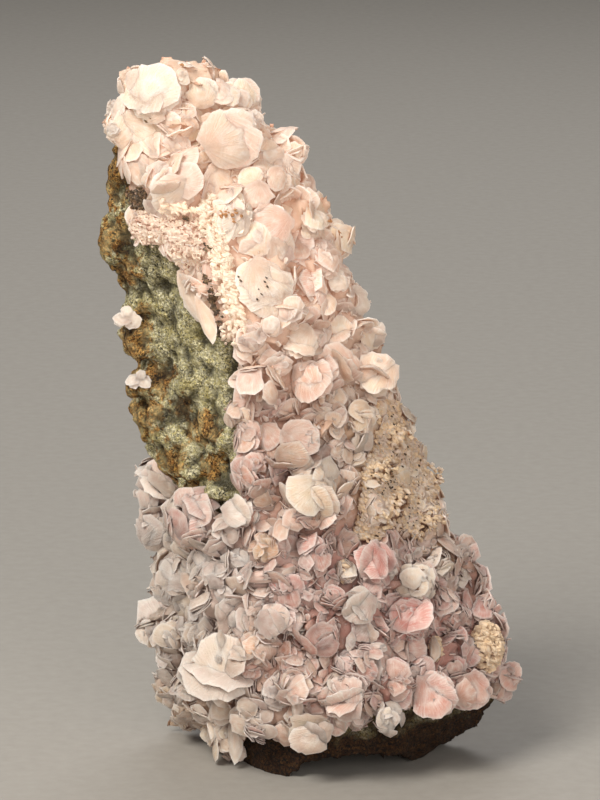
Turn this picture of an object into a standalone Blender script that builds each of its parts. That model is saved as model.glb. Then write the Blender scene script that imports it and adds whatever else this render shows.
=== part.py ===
"""Calcite specimen: pink rosettes of bladed calcite grown over a standing wedge of host rock.

Everything is modelled in millimetres, +Z up, and turned into metres at the very end. The crystal
face looks along -Y and the broken back along +Y.
"""

import math
import random

import bmesh
import bpy
from mathutils import Matrix, Vector, noise
from mathutils.bvhtree import BVHTree

MM = 0.001

# Driving dimensions
ROCK_HEIGHT = 95.2
GAP = 0.32
CRUST_CLEARANCE = 0.4
BED_THICKNESS = 2.2
BED_SWELL = 1.3
BED_EDGE_SINK = 1.5
BED_EDGE_WIDTH = 2.5
BLADE_HALF_THICKNESS = 0.5
BLADE_REACH = 1.3
PLATE_HALF_THICKNESS = 1.7
BARE_ROUGHNESS = 1.7
COVERED_ROUGHNESS = 0.25

# How finely each form is drawn
RING_STEP = 4.0
POINTS_PER_SPAN = 3
BLADE_SIDES = 5
BLADES_IN_ROSETTE = 4
BLADES_IN_TUFT = 2
BLADES_ON_BARE_ROCK = 3
OUTER_TRIANGLES = 6400

# Colours
ROCK_GREEN = (0.26, 0.25, 0.14)
CALCITE_PINK = (0.80, 0.60, 0.55)
CALCITE_WHITE = (0.86, 0.80, 0.78)

# The bounding box is centred on the origin
SHIFT_TO_ORIGIN = Vector((3.0, 2.8, 0.0))

# Crystals are placed as they show from the front, looking down a little: how far across, and how
# far up the view. Each one then sits where that line of sight meets the specimen.
VIEW_ELEVATION = math.radians(12.0)
VIEW_UP = Vector((0.0, math.sin(VIEW_ELEVATION), math.cos(VIEW_ELEVATION)))
VIEW_AWAY = Vector((0.0, math.cos(VIEW_ELEVATION), -math.sin(VIEW_ELEVATION)))
VIEW_DISTANCE = 200.0

# The rock's outline: (height, position). The left flank runs from the left edge to the ridge.
LEFT_EDGE = [(0, -17), (5, -20.5), (10, -22.5), (18, -23), (27, -21.5), (36, -23.5), (42, -26.5),
             (50, -28), (60, -29), (68, -31), (76, -31.5), (86, -30.5), (91, -28.5), (96, -25.5)]
RIDGE = [(0, -9), (12, -10), (25, -12), (40, -13.5), (52, -14.5), (62, -16), (72, -21), (84, -25), (96, -22.5)]
RIGHT_EDGE = [(0, 15), (3, 19.5), (6, 22.5), (9, 25), (12, 24.5), (17, 21), (25, 17), (35, 12.5), (45, 8.5),
              (55, 4.5), (65, 1.2), (75, -1.2), (84, -6.5), (90, -12.5), (96, -18)]
FRONT_EDGE = [(0, -14.5), (4, -15), (9, -15.5), (18, -15.5), (30, -14.5), (50, -12.5), (65, -11),
              (80, -8.5), (90, -5.5), (96, -3)]
BACK_EDGE = [(0, 13), (10, 16), (25, 16), (50, 13.5), (70, 11), (85, 8), (96, 4)]

# Flat fractures of the broken back and sides: a place on each, and the way that it faces
FRACTURES = [((-6, 14.6, 30), (0.22, 1.0, 0.10)), ((-22, 11.8, 60), (-0.55, 1.0, 0.1)),
             ((10, 13.0, 22), (0.8, 1.0, 0.3)), ((-14, 10.4, 76), (0.1, 1.0, 0.35)),
             ((22, 0.0, 3.5), (0.75, -0.1, -1.0)), ((-18, 12.0, 8), (-0.8, 1.0, -0.35)),
             ((-2, 13.2, 56), (0.5, 1.0, 0.0))]

# The arch under the front of the base: centre and half sizes
ARCH_CENTRE = Vector((2.5, -9.0, 0.0))
ARCH_HALF_SIZE = Vector((9.0, 13.0, 3.4))

# Lumps of iron-stained rock on the left edge: (across, up, depth, radius)
NODULES = [(-29.4, 72.5, 2.5, 3.0), (-29.0, 84.0, 1.5, 2.4), (-28.9, 78.0, 3.0, 2.2), (-26.1, 57.5, 3.0, 3.0),
           (-25.7, 52.0, 3.5, 3.2), (-23.4, 47.5, 1.5, 3.0), (-19.7, 40.5, -3.0, 3.0), (-15.4, 37.6, -7.5, 2.6),
           (-19.3, 51.5, -4.0, 3.0), (-15.4, 44.5, -8.0, 2.6)]

# Where the crust ends, in the view from the front. LEFT_BORDER is (up, across) beside the bare
# flank, FLANK_FOOT is (across, up) below it, and LOWER_BORDER is (across, up) over the foot.
LEFT_BORDER = [(36, -12.9), (43, -13.4), (50, -14.2), (57, -15.0), (61, -18.5), (64, -19.9), (69, -23.4),
               (72, -25.5), (76, -28.6), (80, -29.2), (87, -31.5)]
FLANK_FOOT = [(-32, 44), (-26, 42), (-23, 37.5), (-13, 35)]
FLANK_TOP = 87.0
LOWER_BORDER = [(-30, 3), (-20, 1.5), (-13, 0.0), (-9.8, 0.7), (-3.4, 1.3), (0, 4.0), (4, 3.0), (7.7, 4.2),
                (9.5, 5.7), (20, 6.3), (22, 8), (27, 8.4)]
LEFT_WRAP = 0.85
RIGHT_WRAP = 0.35
CROWN_WRAP = 0.95
CROWN_FROM = 84.0

# A raised slab of the crust, with a steep left side over a crevice: its outline in the view
SLAB_OUTLINE = [(-17.6, 72.5), (-16.2, 66), (-13.6, 58), (-6.5, 57), (-4.5, 62), (-7, 70), (-11, 75.5), (-15.6, 76)]
SLAB_THICKNESS = 5.0
SLAB_RISE = 2.2

# Rosettes of blades: (across, up, reach)
ROSETTES = [
    (-19.2, 94.1, 3.2), (-15.0, 91.3, 3.2), (-29.0, 87.4, 2.8), (-19.9, 80.8, 3.2), (-29.2, 81.5, 2.1),
    (-23.4, 79.4, 2.6), (-10.8, 89.9, 2.5), (-6.6, 84.3, 3.0), (-9.8, 80.1, 2.8), (-25.5, 73.8, 3.1),
    (-20.6, 71.7, 3.0), (-3.1, 80.1, 2.6), (-0.3, 74.5, 2.7), (-4.5, 75.9, 2.8), (-3.1, 68.9, 2.9),
    (-3.1, 63.3, 2.8), (-4.8, 57.7, 2.9), (2.5, 59.8, 2.8), (-9.8, 52.8, 3.4), (-2.8, 52.1, 3.2),
    (4.6, 52.8, 3.4), (-5.6, 43.7, 3.6), (-12.9, 47.9, 2.4), (2.5, 47.2, 2.8), (9.2, 47.2, 2.0),
    (-10.4, 39.5, 3.2), (-2.8, 37.1, 4.2), (-12.2, 34.3, 2.6), (-19.0, 33.2, 4.2), (-24.8, 31.8, 3.0),
    (13.4, 38.8, 2.0), (-9.4, 29.3, 2.4), (-9.0, 24.5, 4.0), (-2.8, 27.9, 3.0), (11.2, 25.1, 3.0),
    (15.1, 27.9, 2.8), (3.9, 21.3, 3.2), (16.1, 19.9, 2.6), (20.2, 20.6, 2.6), (22.0, 15.7, 3.2),
    (-21.6, 25.5, 2.8), (-15.4, 22.0, 3.2), (-21.6, 15.7, 3.8), (-1.7, 18.5, 3.0), (-23.0, 9.4, 3.0),
    (-18.5, 7.3, 3.0), (-10.8, 5.9, 3.4), (-14.3, 1.8, 2.6), (-4.5, 11.5, 3.2), (1.8, 9.4, 3.8),
    (-3.4, 5.4, 3.0), (7.4, 11.5, 3.0), (7.4, 6.4, 2.6), (14.0, 9.4, 3.4), (19.3, 9.4, 3.0),
    (24.2, 9.8, 2.6), (15.1, 15.0, 2.8),
]

# Broad plates that face the front: (across, up, radius)
PLATES = [
    (-25.2, 92.7, 4.2), (-14.0, 85.7, 3.7), (1.1, 65.4, 2.4), (-10.0, 63.5, 2.6), (5.0, 59.1, 2.2),
    (-24.4, 38.8, 3.8), (5.0, 27.6, 3.4), (10.6, 19.2, 3.3), (-8.0, 19.2, 2.8), (-15.0, 12.9, 4.6),
]

# Small tufts of blades between the rosettes, on every side of the crust
TUFTS = 72
TUFT_SPACING = 4.3
TUFT_REACH = (2.4, 3.2)

# Lone crystals on the bare flank: name, across, up, reach
LONE_CRYSTALS = [("flank_tuft_upper", -28.0, 62.0, 2.0), ("flank_tuft_lower", -26.8, 52.8, 1.6)]

random_number = random.Random(41)


# Profiles and the view
def read(profile, place):
    """The value of a (place, value) profile, with straight runs between its points."""
    for (start, value), (end, next_value) in zip(profile, profile[1:]):
        if place <= end:
            share = max(0.0, (place - start) / (end - start))
            return value + share * (next_value - value)
    return profile[-1][1]


def blend(start, end, share):
    return start + (end - start) * min(1.0, max(0.0, share))


def view_height(point):
    return point.dot(VIEW_UP)


# Scene helpers
def clear_scene():
    for obj in list(bpy.data.objects):
        bpy.data.objects.remove(obj, do_unlink=True)


def object_of(name, bm):
    bmesh.ops.recalc_face_normals(bm, faces=bm.faces)
    mesh = bpy.data.meshes.new(name)
    bm.to_mesh(mesh)
    bm.free()
    obj = bpy.data.objects.new(name, mesh)
    bpy.context.collection.objects.link(obj)
    return obj


def material_of(name, colour, roughness):
    material = bpy.data.materials.new(name)
    material.use_nodes = True
    shader = material.node_tree.nodes["Principled BSDF"]
    shader.inputs["Base Color"].default_value = (*colour, 1.0)
    shader.inputs["Roughness"].default_value = roughness
    shader.inputs["Metallic"].default_value = 0.0
    return material


def apply_modifiers(obj):
    bpy.context.view_layer.update()
    graph = bpy.context.evaluated_depsgraph_get()
    result = bpy.data.meshes.new_from_object(obj.evaluated_get(graph))
    obj.modifiers.clear()
    obj.data = result


def combine(target, other, operation):
    """Applies an exact Boolean to the target and removes the other object."""
    boolean = target.modifiers.new(operation.title(), "BOOLEAN")
    boolean.operation = operation
    boolean.solver = "EXACT"
    boolean.use_self = True
    boolean.object = other
    apply_modifiers(target)
    bpy.data.objects.remove(other, do_unlink=True)


def thin_out(obj, triangles):
    """Merges the slivers that crossing blades leave, down to a number of triangles."""
    thinning = obj.modifiers.new("Thin out", "DECIMATE")
    bm = bmesh.new()
    bm.from_mesh(obj.data)
    bmesh.ops.triangulate(bm, faces=bm.faces)
    thinning.ratio = min(1.0, triangles / len(bm.faces))
    bm.to_mesh(obj.data)
    bm.free()
    apply_modifiers(obj)


def keep_largest_body(obj):
    """Drops what a Boolean has cut loose, and any pocket that it has sealed in."""
    bm = bmesh.new()
    bm.from_mesh(obj.data)
    bmesh.ops.triangulate(bm, faces=bm.faces)
    unseen = set(bm.faces)
    bodies = []
    while unseen:
        body = {unseen.pop()}
        front = list(body)
        while front:
            sound_edges = [edge for edge in front.pop().edges if len(edge.link_faces) == 2]
            beyond = {face for edge in sound_edges for face in edge.link_faces} & unseen
            unseen -= beyond
            body |= beyond
            front.extend(beyond)
        bodies.append(body)
    largest = max(bodies, key=len)
    loose = [face for body in bodies if body is not largest for face in body]
    bmesh.ops.delete(bm, geom=loose, context="FACES")
    bm.to_mesh(obj.data)
    bm.free()


# Host rock
def section(height):
    """One level outline of the rock, as a smooth closed curve through nine points."""
    left, ridge, right = read(LEFT_EDGE, height), read(RIDGE, height), read(RIGHT_EDGE, height)
    front, back = read(FRONT_EDGE, height), read(BACK_EDGE, height)
    width = right - ridge
    corners = [
        (left + 2.0, back - 1.5),
        (left, back - 6.0),
        ((left + ridge) / 2 - 1.0, (back - 6.0 + 0.8 * front) / 2),
        (ridge, 0.8 * front),
        (ridge + 0.35 * width, front),
        (ridge + 0.75 * width, 0.62 * front),
        (right, 0.15 * back),
        (right - 2.5, back - 3.0),
        ((left + right) / 2, back),
    ]
    outline = []
    count = len(corners)
    for i in range(count):
        before, start, end, after = (Vector(corners[(i + k) % count]) for k in (-1, 0, 1, 2))
        for j in range(POINTS_PER_SPAN):
            t = j / POINTS_PER_SPAN
            across, depth = 0.5 * (
                2 * start + (end - before) * t + (2 * before - 5 * start + 4 * end - after) * t ** 2
                + (3 * start - before - 3 * end + after) * t ** 3
            )
            outline.append(Vector((across, depth, height)))
    return outline


def rock_body(name):
    """The wedge of rock as a stack of sections, before it is roughened and broken."""
    bm = bmesh.new()
    levels = round(ROCK_HEIGHT / RING_STEP)
    rings = []
    for level in range(levels + 1):
        height = ROCK_HEIGHT * level / levels
        rings.append([bm.verts.new(point) for point in section(height)])
    count = len(rings[0])
    for lower, upper in zip(rings, rings[1:]):
        for i in range(count):
            j = (i + 1) % count
            bm.faces.new((lower[i], lower[j], upper[j], upper[i]))
    bm.faces.new(rings[0])
    bm.faces.new(rings[-1])
    return object_of(name, bm)


def break_off(obj):
    """Cuts the flat fractures, each as one plane whose opening is closed by a flat face."""
    bm = bmesh.new()
    bm.from_mesh(obj.data)
    for place, facing in FRACTURES:
        everything = bm.verts[:] + bm.edges[:] + bm.faces[:]
        cut = bmesh.ops.bisect_plane(
            bm, geom=everything, dist=0.001, plane_co=place, plane_no=facing, clear_outer=True
        )
        rim = [item for item in cut["geom_cut"] if isinstance(item, bmesh.types.BMEdge)]
        bmesh.ops.contextual_create(bm, geom=rim)
    bmesh.ops.triangulate(bm, faces=bm.faces)
    bmesh.ops.recalc_face_normals(bm, faces=bm.faces)
    bm.to_mesh(obj.data)
    bm.free()
    obj.data.update()


def crust_depth(point):
    """How far inside the crust's edge a point of the rock's surface lies. Bare rock is negative."""
    across, up = point.x, view_height(point)
    left_edge, right_edge = read(LEFT_EDGE, point.z), read(RIGHT_EDGE, point.z)
    bare = min(read(LEFT_BORDER, up) - across, up - read(FLANK_FOOT, across), FLANK_TOP - up)
    share = (point.x - left_edge) / (right_edge - left_edge)
    wrap = blend(LEFT_WRAP, RIGHT_WRAP, share)
    wrap = blend(wrap, CROWN_WRAP, (point.z - CROWN_FROM) / 5.0)
    behind = wrap * read(BACK_EDGE, point.z) - point.y
    return min(-bare, up - read(LOWER_BORDER, across), behind)


def crag(point):
    """Height of the rough rock surface: broad lumps, small pits and a few level ledges."""
    lumps = noise.noise(point * 0.11 + Vector((3.1, 0.0, 7.7)))
    pits = noise.noise(point * 0.31 + Vector((9.4, 2.2, 1.3)))
    ledge = math.sin(point.z * 0.55 + 2.0 * lumps)
    return 1.3 * lumps + 0.8 * pits + 0.45 * ledge


def roughen_rock(rock):
    """Bare rock is craggy, and rock under the crust nearly smooth. The base stays level."""
    mesh = rock.data
    moves = []
    for vertex in mesh.vertices:
        roughness = blend(COVERED_ROUGHNESS, BARE_ROUGHNESS, -crust_depth(vertex.co) / BED_EDGE_WIDTH)
        if vertex.co.z == 0.0:
            roughness = 0.0
        moves.append(vertex.normal * crag(vertex.co) * roughness)
    for vertex, move in zip(mesh.vertices, moves):
        vertex.co += move
    mesh.update()


def sight(tree, across, up):
    """Where the line of sight through a place in the view meets a surface, and its normal there."""
    start = Vector((across, 0.0, 0.0)) + VIEW_UP * up
    place, normal, _, _ = tree.ray_cast(start - VIEW_AWAY * VIEW_DISTANCE, VIEW_AWAY)
    if place is None:
        place, normal, _, _ = tree.find_nearest(start)
    return place, normal


def tree_of(obj):
    bm = bmesh.new()
    bm.from_mesh(obj.data)
    tree = BVHTree.FromBMesh(bm)
    bm.free()
    return tree


def lump(name, centre, half_size, subdivisions):
    bm = bmesh.new()
    placing = Matrix.Translation(centre) @ Matrix.Diagonal((*half_size, 1.0))
    bmesh.ops.create_icosphere(bm, subdivisions=subdivisions, radius=1.0, matrix=placing)
    return object_of(name, bm)


def broken_rock(name):
    rock = rock_body(name)
    roughen_rock(rock)
    break_off(rock)
    return rock


def make_host_rock():
    rock = broken_rock("host_rock")
    for across, up, depth, radius in NODULES:
        centre = Vector((across, depth, (up - depth * VIEW_UP.y) / VIEW_UP.z))
        combine(rock, lump("nodule", centre, (radius, radius, radius), 1), "UNION")
    combine(rock, lump("arch", ARCH_CENTRE, ARCH_HALF_SIZE, 2), "DIFFERENCE")
    keep_largest_body(rock)
    return rock


# Crust
def grow(obj, growth):
    """Moves a body's surface outwards by a distance given for each point."""
    moves = [vertex.normal * growth(vertex.co) for vertex in obj.data.vertices]
    for vertex, move in zip(obj.data.vertices, moves):
        vertex.co += move
    obj.data.update()


def copy_with_gap(rock):
    copy = bpy.data.objects.new("rock_with_gap", rock.data.copy())
    bpy.context.collection.objects.link(copy)
    grow(copy, lambda point: GAP)
    return copy


def bed_growth(point):
    """The bed of intergrown crystals is full and lumpy inside the crust and sinks away at its edge."""
    full = blend(0.0, 1.0, crust_depth(point) / BED_EDGE_WIDTH)
    swell = BED_SWELL * noise.noise(point * 0.24 + Vector((1.7, 5.2, 0.4)))
    return full * (BED_THICKNESS + BED_EDGE_SINK + swell) - BED_EDGE_SINK


def add_blade(bm, centre, facing, radius, thickness):
    """A flat crystal blade: a many-sided plate whose front is a little narrower than its back."""
    taper = 0.86
    across = facing.orthogonal().normalized()
    along = facing.cross(across)
    turn = random_number.uniform(0.0, math.tau)
    front, back = [], []
    for i in range(BLADE_SIDES):
        angle = turn + math.tau * i / BLADE_SIDES
        reach = radius * random_number.uniform(0.86, 1.1)
        arm = reach * (math.cos(angle) * across + math.sin(angle) * along)
        front.append(bm.verts.new(centre + taper * arm + facing * thickness))
        back.append(bm.verts.new(centre + arm - facing * thickness))
    bm.faces.new(front)
    bm.faces.new(back)
    for i in range(BLADE_SIDES):
        j = (i + 1) % BLADE_SIDES
        bm.faces.new((front[i], front[j], back[j], back[i]))


def add_rosette(bm, place, normal, reach, blades):
    """Blades that fan out of one place like the petals of a rose, the first nearly upright."""
    side = normal.orthogonal().normalized()
    turn = random_number.uniform(0.0, math.tau)
    for k in range(blades):
        least, most = (6, 16) if k == 0 else (30, 58)
        tilt = math.radians(random_number.uniform(least, most))
        swing = turn + math.tau * k / max(1, blades - 1) + random_number.uniform(-0.3, 0.3)
        radial = Matrix.Rotation(swing, 3, normal) @ side
        outward = normal * math.cos(tilt) + radial * math.sin(tilt)
        facing = radial * math.cos(tilt) - normal * math.sin(tilt)
        radius = reach * random_number.uniform(0.9, 1.15)
        add_blade(bm, place + outward * (BLADE_REACH * reach - radius), facing, radius, BLADE_HALF_THICKNESS)


def add_plate(bm, place, normal, radius):
    """A broad plate that looks between the surface's normal and the front, with a second on its corner."""
    facing = (normal * 0.55 - VIEW_AWAY).normalized()
    middle = place + facing * 0.7 * PLATE_HALF_THICKNESS
    add_blade(bm, middle, facing, radius, PLATE_HALF_THICKNESS)
    corner = Vector((-0.35, 0.0, 0.3))
    lifted = middle + facing * 0.5 * PLATE_HALF_THICKNESS + corner * radius
    add_blade(bm, lifted, (facing + corner).normalized(), 0.6 * radius, 0.5 * PLATE_HALF_THICKNESS)


def scattered_places(obj, taken):
    """Seeded places over the crust's outer surface, clear of those already taken."""
    covered = [face for face in obj.data.polygons if crust_depth(face.center) > 0.8 * BED_EDGE_WIDTH]
    areas = [face.area for face in covered]
    found = []
    for _ in range(TUFTS * 30):
        face = random_number.choices(covered, areas)[0]
        centre = face.center.copy()
        if all((centre - other).length > TUFT_SPACING for other in taken):
            taken.append(centre)
            found.append((centre, face.normal.copy()))
        if len(found) == TUFTS:
            break
    return found


def crystals_on(bed):
    """All blades of the crust as one mesh, rooted in its bed."""
    tree = tree_of(bed)
    bm = bmesh.new()
    taken = []
    for across, up, radius in PLATES:
        place, normal = sight(tree, across, up)
        add_plate(bm, place, normal, radius)
        taken.append(place)
    for across, up, reach in ROSETTES:
        place, normal = sight(tree, across, up)
        add_rosette(bm, place, normal, reach, BLADES_IN_ROSETTE)
        taken.append(place)
    for place, normal in scattered_places(bed, taken):
        add_rosette(bm, place, normal, random_number.uniform(*TUFT_REACH), BLADES_IN_TUFT)
    return object_of("blades", bm)


def raised_slab(bed):
    """The thick plate whose left side stands steeply over a crevice."""
    tree = tree_of(bed)
    middle = sum((Vector(corner) for corner in SLAB_OUTLINE), Vector((0.0, 0.0))) / len(SLAB_OUTLINE)
    place, _ = sight(tree, middle.x, middle.y)
    front = place - VIEW_AWAY * SLAB_RISE
    bm = bmesh.new()
    corners = []
    for across, up in SLAB_OUTLINE:
        offset = Vector((across - middle.x, 0.0, 0.0)) + VIEW_UP * (up - middle.y)
        corners.append(bm.verts.new(front + offset))
    face = bm.faces.new(corners)
    made = bmesh.ops.extrude_face_region(bm, geom=[face])
    back = [item for item in made["geom"] if isinstance(item, bmesh.types.BMVert)]
    bmesh.ops.translate(bm, verts=back, vec=VIEW_AWAY * SLAB_THICKNESS)
    return object_of("slab", bm)


def floor_block():
    """Everything below the level that the crust stays clear of."""
    size = 2.0 * ROCK_HEIGHT
    bm = bmesh.new()
    bmesh.ops.create_cube(bm, size=size, matrix=Matrix.Translation((0.0, 0.0, CRUST_CLEARANCE - size / 2)))
    return object_of("floor", bm)


def make_crust(rock):
    crust = broken_rock("calcite_crust")
    grow(crust, bed_growth)
    blades = crystals_on(crust)
    combine(crust, raised_slab(crust), "UNION")
    combine(crust, blades, "UNION")
    keep_largest_body(crust)
    thin_out(crust, OUTER_TRIANGLES)
    combine(crust, copy_with_gap(rock), "DIFFERENCE")
    combine(crust, floor_block(), "DIFFERENCE")
    keep_largest_body(crust)
    return crust


# Lone crystals
def make_lone_crystal(name, rock, across, up, reach):
    """A tuft of three blades that stands on bare rock, cut to sit against it."""
    place, normal = sight(tree_of(rock), across, up)
    root = place + normal * GAP
    bm = bmesh.new()
    add_rosette(bm, root, normal, reach, BLADES_ON_BARE_ROCK)
    bmesh.ops.create_icosphere(bm, subdivisions=1, radius=0.5 * reach, matrix=Matrix.Translation(root))
    tuft = object_of(name, bm)
    combine(tuft, copy_with_gap(rock), "DIFFERENCE")
    keep_largest_body(tuft)
    return tuft


def finish(obj, material):
    """Gives a piece its material and turns its millimetres into metres."""
    obj.data.materials.clear()
    obj.data.materials.append(material)
    obj.data.transform(Matrix.Translation(SHIFT_TO_ORIGIN))
    obj.data.transform(Matrix.Scale(MM, 4))


clear_scene()
host_rock = make_host_rock()
calcite_crust = make_crust(host_rock)
lone_crystals = [make_lone_crystal(name, host_rock, *place) for name, *place in LONE_CRYSTALS]

finish(host_rock, material_of("host_rock", ROCK_GREEN, 0.9))
finish(calcite_crust, material_of("pink_calcite", CALCITE_PINK, 0.45))
white_calcite = material_of("white_calcite", CALCITE_WHITE, 0.4)
for crystal in lone_crystals:
    finish(crystal, white_calcite)
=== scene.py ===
# %% [markdown]
# # Pink calcite on its host rock
# A wedge of olive-green rock stands on its broken foot. Its face and its crown carry a crust of
# calcite, grown as thin curved blades that fan out of shared roots like the petals of small roses.
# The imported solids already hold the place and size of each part. They could be shown as they are,
# but their blades are thick flat plates, so each solid is used as the body that finer pieces sit on.

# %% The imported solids
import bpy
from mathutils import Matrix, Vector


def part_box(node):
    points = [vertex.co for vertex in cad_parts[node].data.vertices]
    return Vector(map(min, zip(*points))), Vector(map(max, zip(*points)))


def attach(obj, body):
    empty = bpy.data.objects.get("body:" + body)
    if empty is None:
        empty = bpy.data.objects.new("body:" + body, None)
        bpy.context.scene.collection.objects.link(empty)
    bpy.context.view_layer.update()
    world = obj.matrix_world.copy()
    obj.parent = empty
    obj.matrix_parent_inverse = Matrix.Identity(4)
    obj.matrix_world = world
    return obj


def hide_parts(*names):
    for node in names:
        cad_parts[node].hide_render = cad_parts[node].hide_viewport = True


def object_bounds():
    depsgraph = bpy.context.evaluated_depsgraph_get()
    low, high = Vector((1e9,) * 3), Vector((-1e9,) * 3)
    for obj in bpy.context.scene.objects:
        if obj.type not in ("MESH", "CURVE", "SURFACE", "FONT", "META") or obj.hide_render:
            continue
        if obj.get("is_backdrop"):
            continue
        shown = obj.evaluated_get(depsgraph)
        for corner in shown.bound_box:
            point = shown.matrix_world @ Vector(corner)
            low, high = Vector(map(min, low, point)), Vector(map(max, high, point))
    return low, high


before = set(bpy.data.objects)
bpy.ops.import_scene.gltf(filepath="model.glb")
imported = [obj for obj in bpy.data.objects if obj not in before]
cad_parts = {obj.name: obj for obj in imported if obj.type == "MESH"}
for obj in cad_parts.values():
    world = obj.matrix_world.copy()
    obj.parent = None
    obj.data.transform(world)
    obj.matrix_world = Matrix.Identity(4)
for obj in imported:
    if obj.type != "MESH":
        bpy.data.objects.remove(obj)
cad_low, cad_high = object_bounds()
print("packed solids:", ", ".join(sorted(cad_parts)))

# %% Blender's modules
import math
import random

import bmesh
import bpy
import numpy as np
from mathutils import Matrix, Vector, noise
from mathutils.bvhtree import BVHTree

MM = 0.001
chance = random.Random(7)

# %% [markdown]
# ## The view
# The specimen is looked at from the front and a little from above. A crystal's place is noted as it
# shows from there, in millimetres across and up the view, and it then grows where that line of
# sight meets the surface. A place could be given in three numbers instead, but the view is how a
# collector would describe it.

# %% Camera
LOOK_DOWN = math.radians(12.0)
VIEW_UP = Vector((0.0, math.sin(LOOK_DOWN), math.cos(LOOK_DOWN)))
VIEW_AWAY = Vector((0.0, math.cos(LOOK_DOWN), -math.sin(LOOK_DOWN)))
VIEW_ACROSS = Vector((1.0, 0.0, 0.0))
CAMERA_DISTANCE = 0.7
AIM = Vector((-1.5, 0.0, 51.7)) * MM
SEEN_HEIGHT = 112 * MM
SENSOR = 24.0

bpy.ops.object.camera_add(location=AIM - VIEW_AWAY * CAMERA_DISTANCE,
                          rotation=(math.pi / 2 - LOOK_DOWN, 0.0, 0.0))
camera = bpy.context.object
camera.name = "camera"
camera.data.sensor_fit = "VERTICAL"
camera.data.sensor_height = SENSOR
camera.data.lens = SENSOR * CAMERA_DISTANCE / SEEN_HEIGHT
camera.data.clip_start = 0.01
bpy.context.scene.camera = camera
print(f"lens {camera.data.lens:.0f} mm")

# %% [markdown]
# ## Light and floor
# The light is one large soft window high on the left, with a weaker one from the right to open the
# shadows. A small hard lamp would give each blade a sharp black shadow and hide its translucency.

# %% Light and floor
def window(name, place, size, power, colour):
    """A square area light that looks at the middle of the specimen."""
    bpy.ops.object.light_add(type="AREA", location=place)
    lamp = bpy.context.object
    lamp.name = name
    lamp.data.shape = "SQUARE"
    lamp.data.size = size
    lamp.data.energy = power
    lamp.data.color = colour
    lamp.rotation_euler = (AIM - Vector(place)).to_track_quat("-Z", "Y").to_euler()
    return lamp


window("window_left", (-0.32, -0.40, 0.56), 0.32, 6.0, (1.0, 0.97, 0.92))
window("window_front", (0.20, -0.72, 0.20), 0.45, 3.6, (1.0, 0.95, 0.92))
window("window_behind", (0.05, 0.60, 0.60), 0.50, 2.6, (0.96, 0.97, 1.0))

bpy.context.scene.view_settings.view_transform = "Standard"
world = bpy.data.worlds.new("studio")
bpy.context.scene.world = world
world.use_nodes = True
world.node_tree.nodes["Background"].inputs["Color"].default_value = (0.55, 0.54, 0.53, 1.0)
world.node_tree.nodes["Background"].inputs["Strength"].default_value = 0.40

bpy.ops.mesh.primitive_plane_add(size=4.0)
floor = bpy.context.object
floor.name = "floor"
floor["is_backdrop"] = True

# %% [markdown]
# ## Hands for edit mode
# Everything below is shaped with the same few moves: select nothing, select what a test finds, work
# on it. Selecting by hand would need the mouse, and a test on a point's place does the same in code.

# %% Selecting and applying
def only(piece):
    """Makes a piece the one selected and active object."""
    bpy.ops.object.select_all(action="DESELECT")
    piece.select_set(True)
    bpy.context.view_layer.objects.active = piece


def pick(piece, test):
    """In edit mode, selects the points that pass a test, and what they enclose."""
    bm = bmesh.from_edit_mesh(piece.data)
    for item in (*bm.verts, *bm.edges, *bm.faces):
        item.select = False
    for vertex in bm.verts:
        vertex.select = test(vertex)
    bm.select_flush(True)
    bmesh.update_edit_mesh(piece.data)


def applied(piece, kind, **settings):
    """Adds a modifier, sets it and applies it."""
    only(piece)
    modifier = piece.modifiers.new(kind.title(), kind)
    for key, value in settings.items():
        setattr(modifier, key, value)
    bpy.ops.object.modifier_apply(modifier=modifier.name)


def packed_copy(node, name):
    """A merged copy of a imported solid, free to be worked on."""
    piece = bpy.data.objects.new(name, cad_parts[node].data.copy())
    bpy.context.scene.collection.objects.link(piece)
    piece.data.materials.clear()
    only(piece)
    bpy.ops.object.mode_set(mode="EDIT")
    bpy.ops.mesh.select_all(action="SELECT")
    bpy.ops.mesh.remove_doubles(threshold=0.01 * MM)
    bpy.ops.object.mode_set(mode="OBJECT")
    return piece


def points_of(mesh):
    points = np.empty(len(mesh.vertices) * 3)
    mesh.vertices.foreach_get("co", points)
    return points.reshape(-1, 3)


def tree_of(piece):
    bm = bmesh.new()
    bm.from_mesh(piece.data)
    tree = BVHTree.FromBMesh(bm)
    bm.free()
    return tree


def seen_at(tree, across, up):
    """Where the line of sight through a place in the view meets a surface, and its normal there."""
    start = Vector((across * MM, 0.0, 0.0)) + VIEW_UP * up * MM
    place, normal, _, _ = tree.ray_cast(start - VIEW_AWAY * CAMERA_DISTANCE, VIEW_AWAY)
    if place is None:
        place, normal, _, _ = tree.find_nearest(start)
    return place, normal


def keep_values(piece, name, values):
    """Stores one number for each point, for a material to read."""
    attribute = piece.data.attributes.new(name, "FLOAT", "POINT")
    attribute.data.foreach_set("value", np.asarray(values, np.float32))


# %% [markdown]
# ## Reading a place's character
# Colour on the real specimen changes from patch to patch: cream at the crown, pink in the middle,
# smoky grey at the lower left. Each patch is noted once by its middle, and a point takes the mean
# of the patches near it. A painted image would be quicker, but it would only fit one side.

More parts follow.
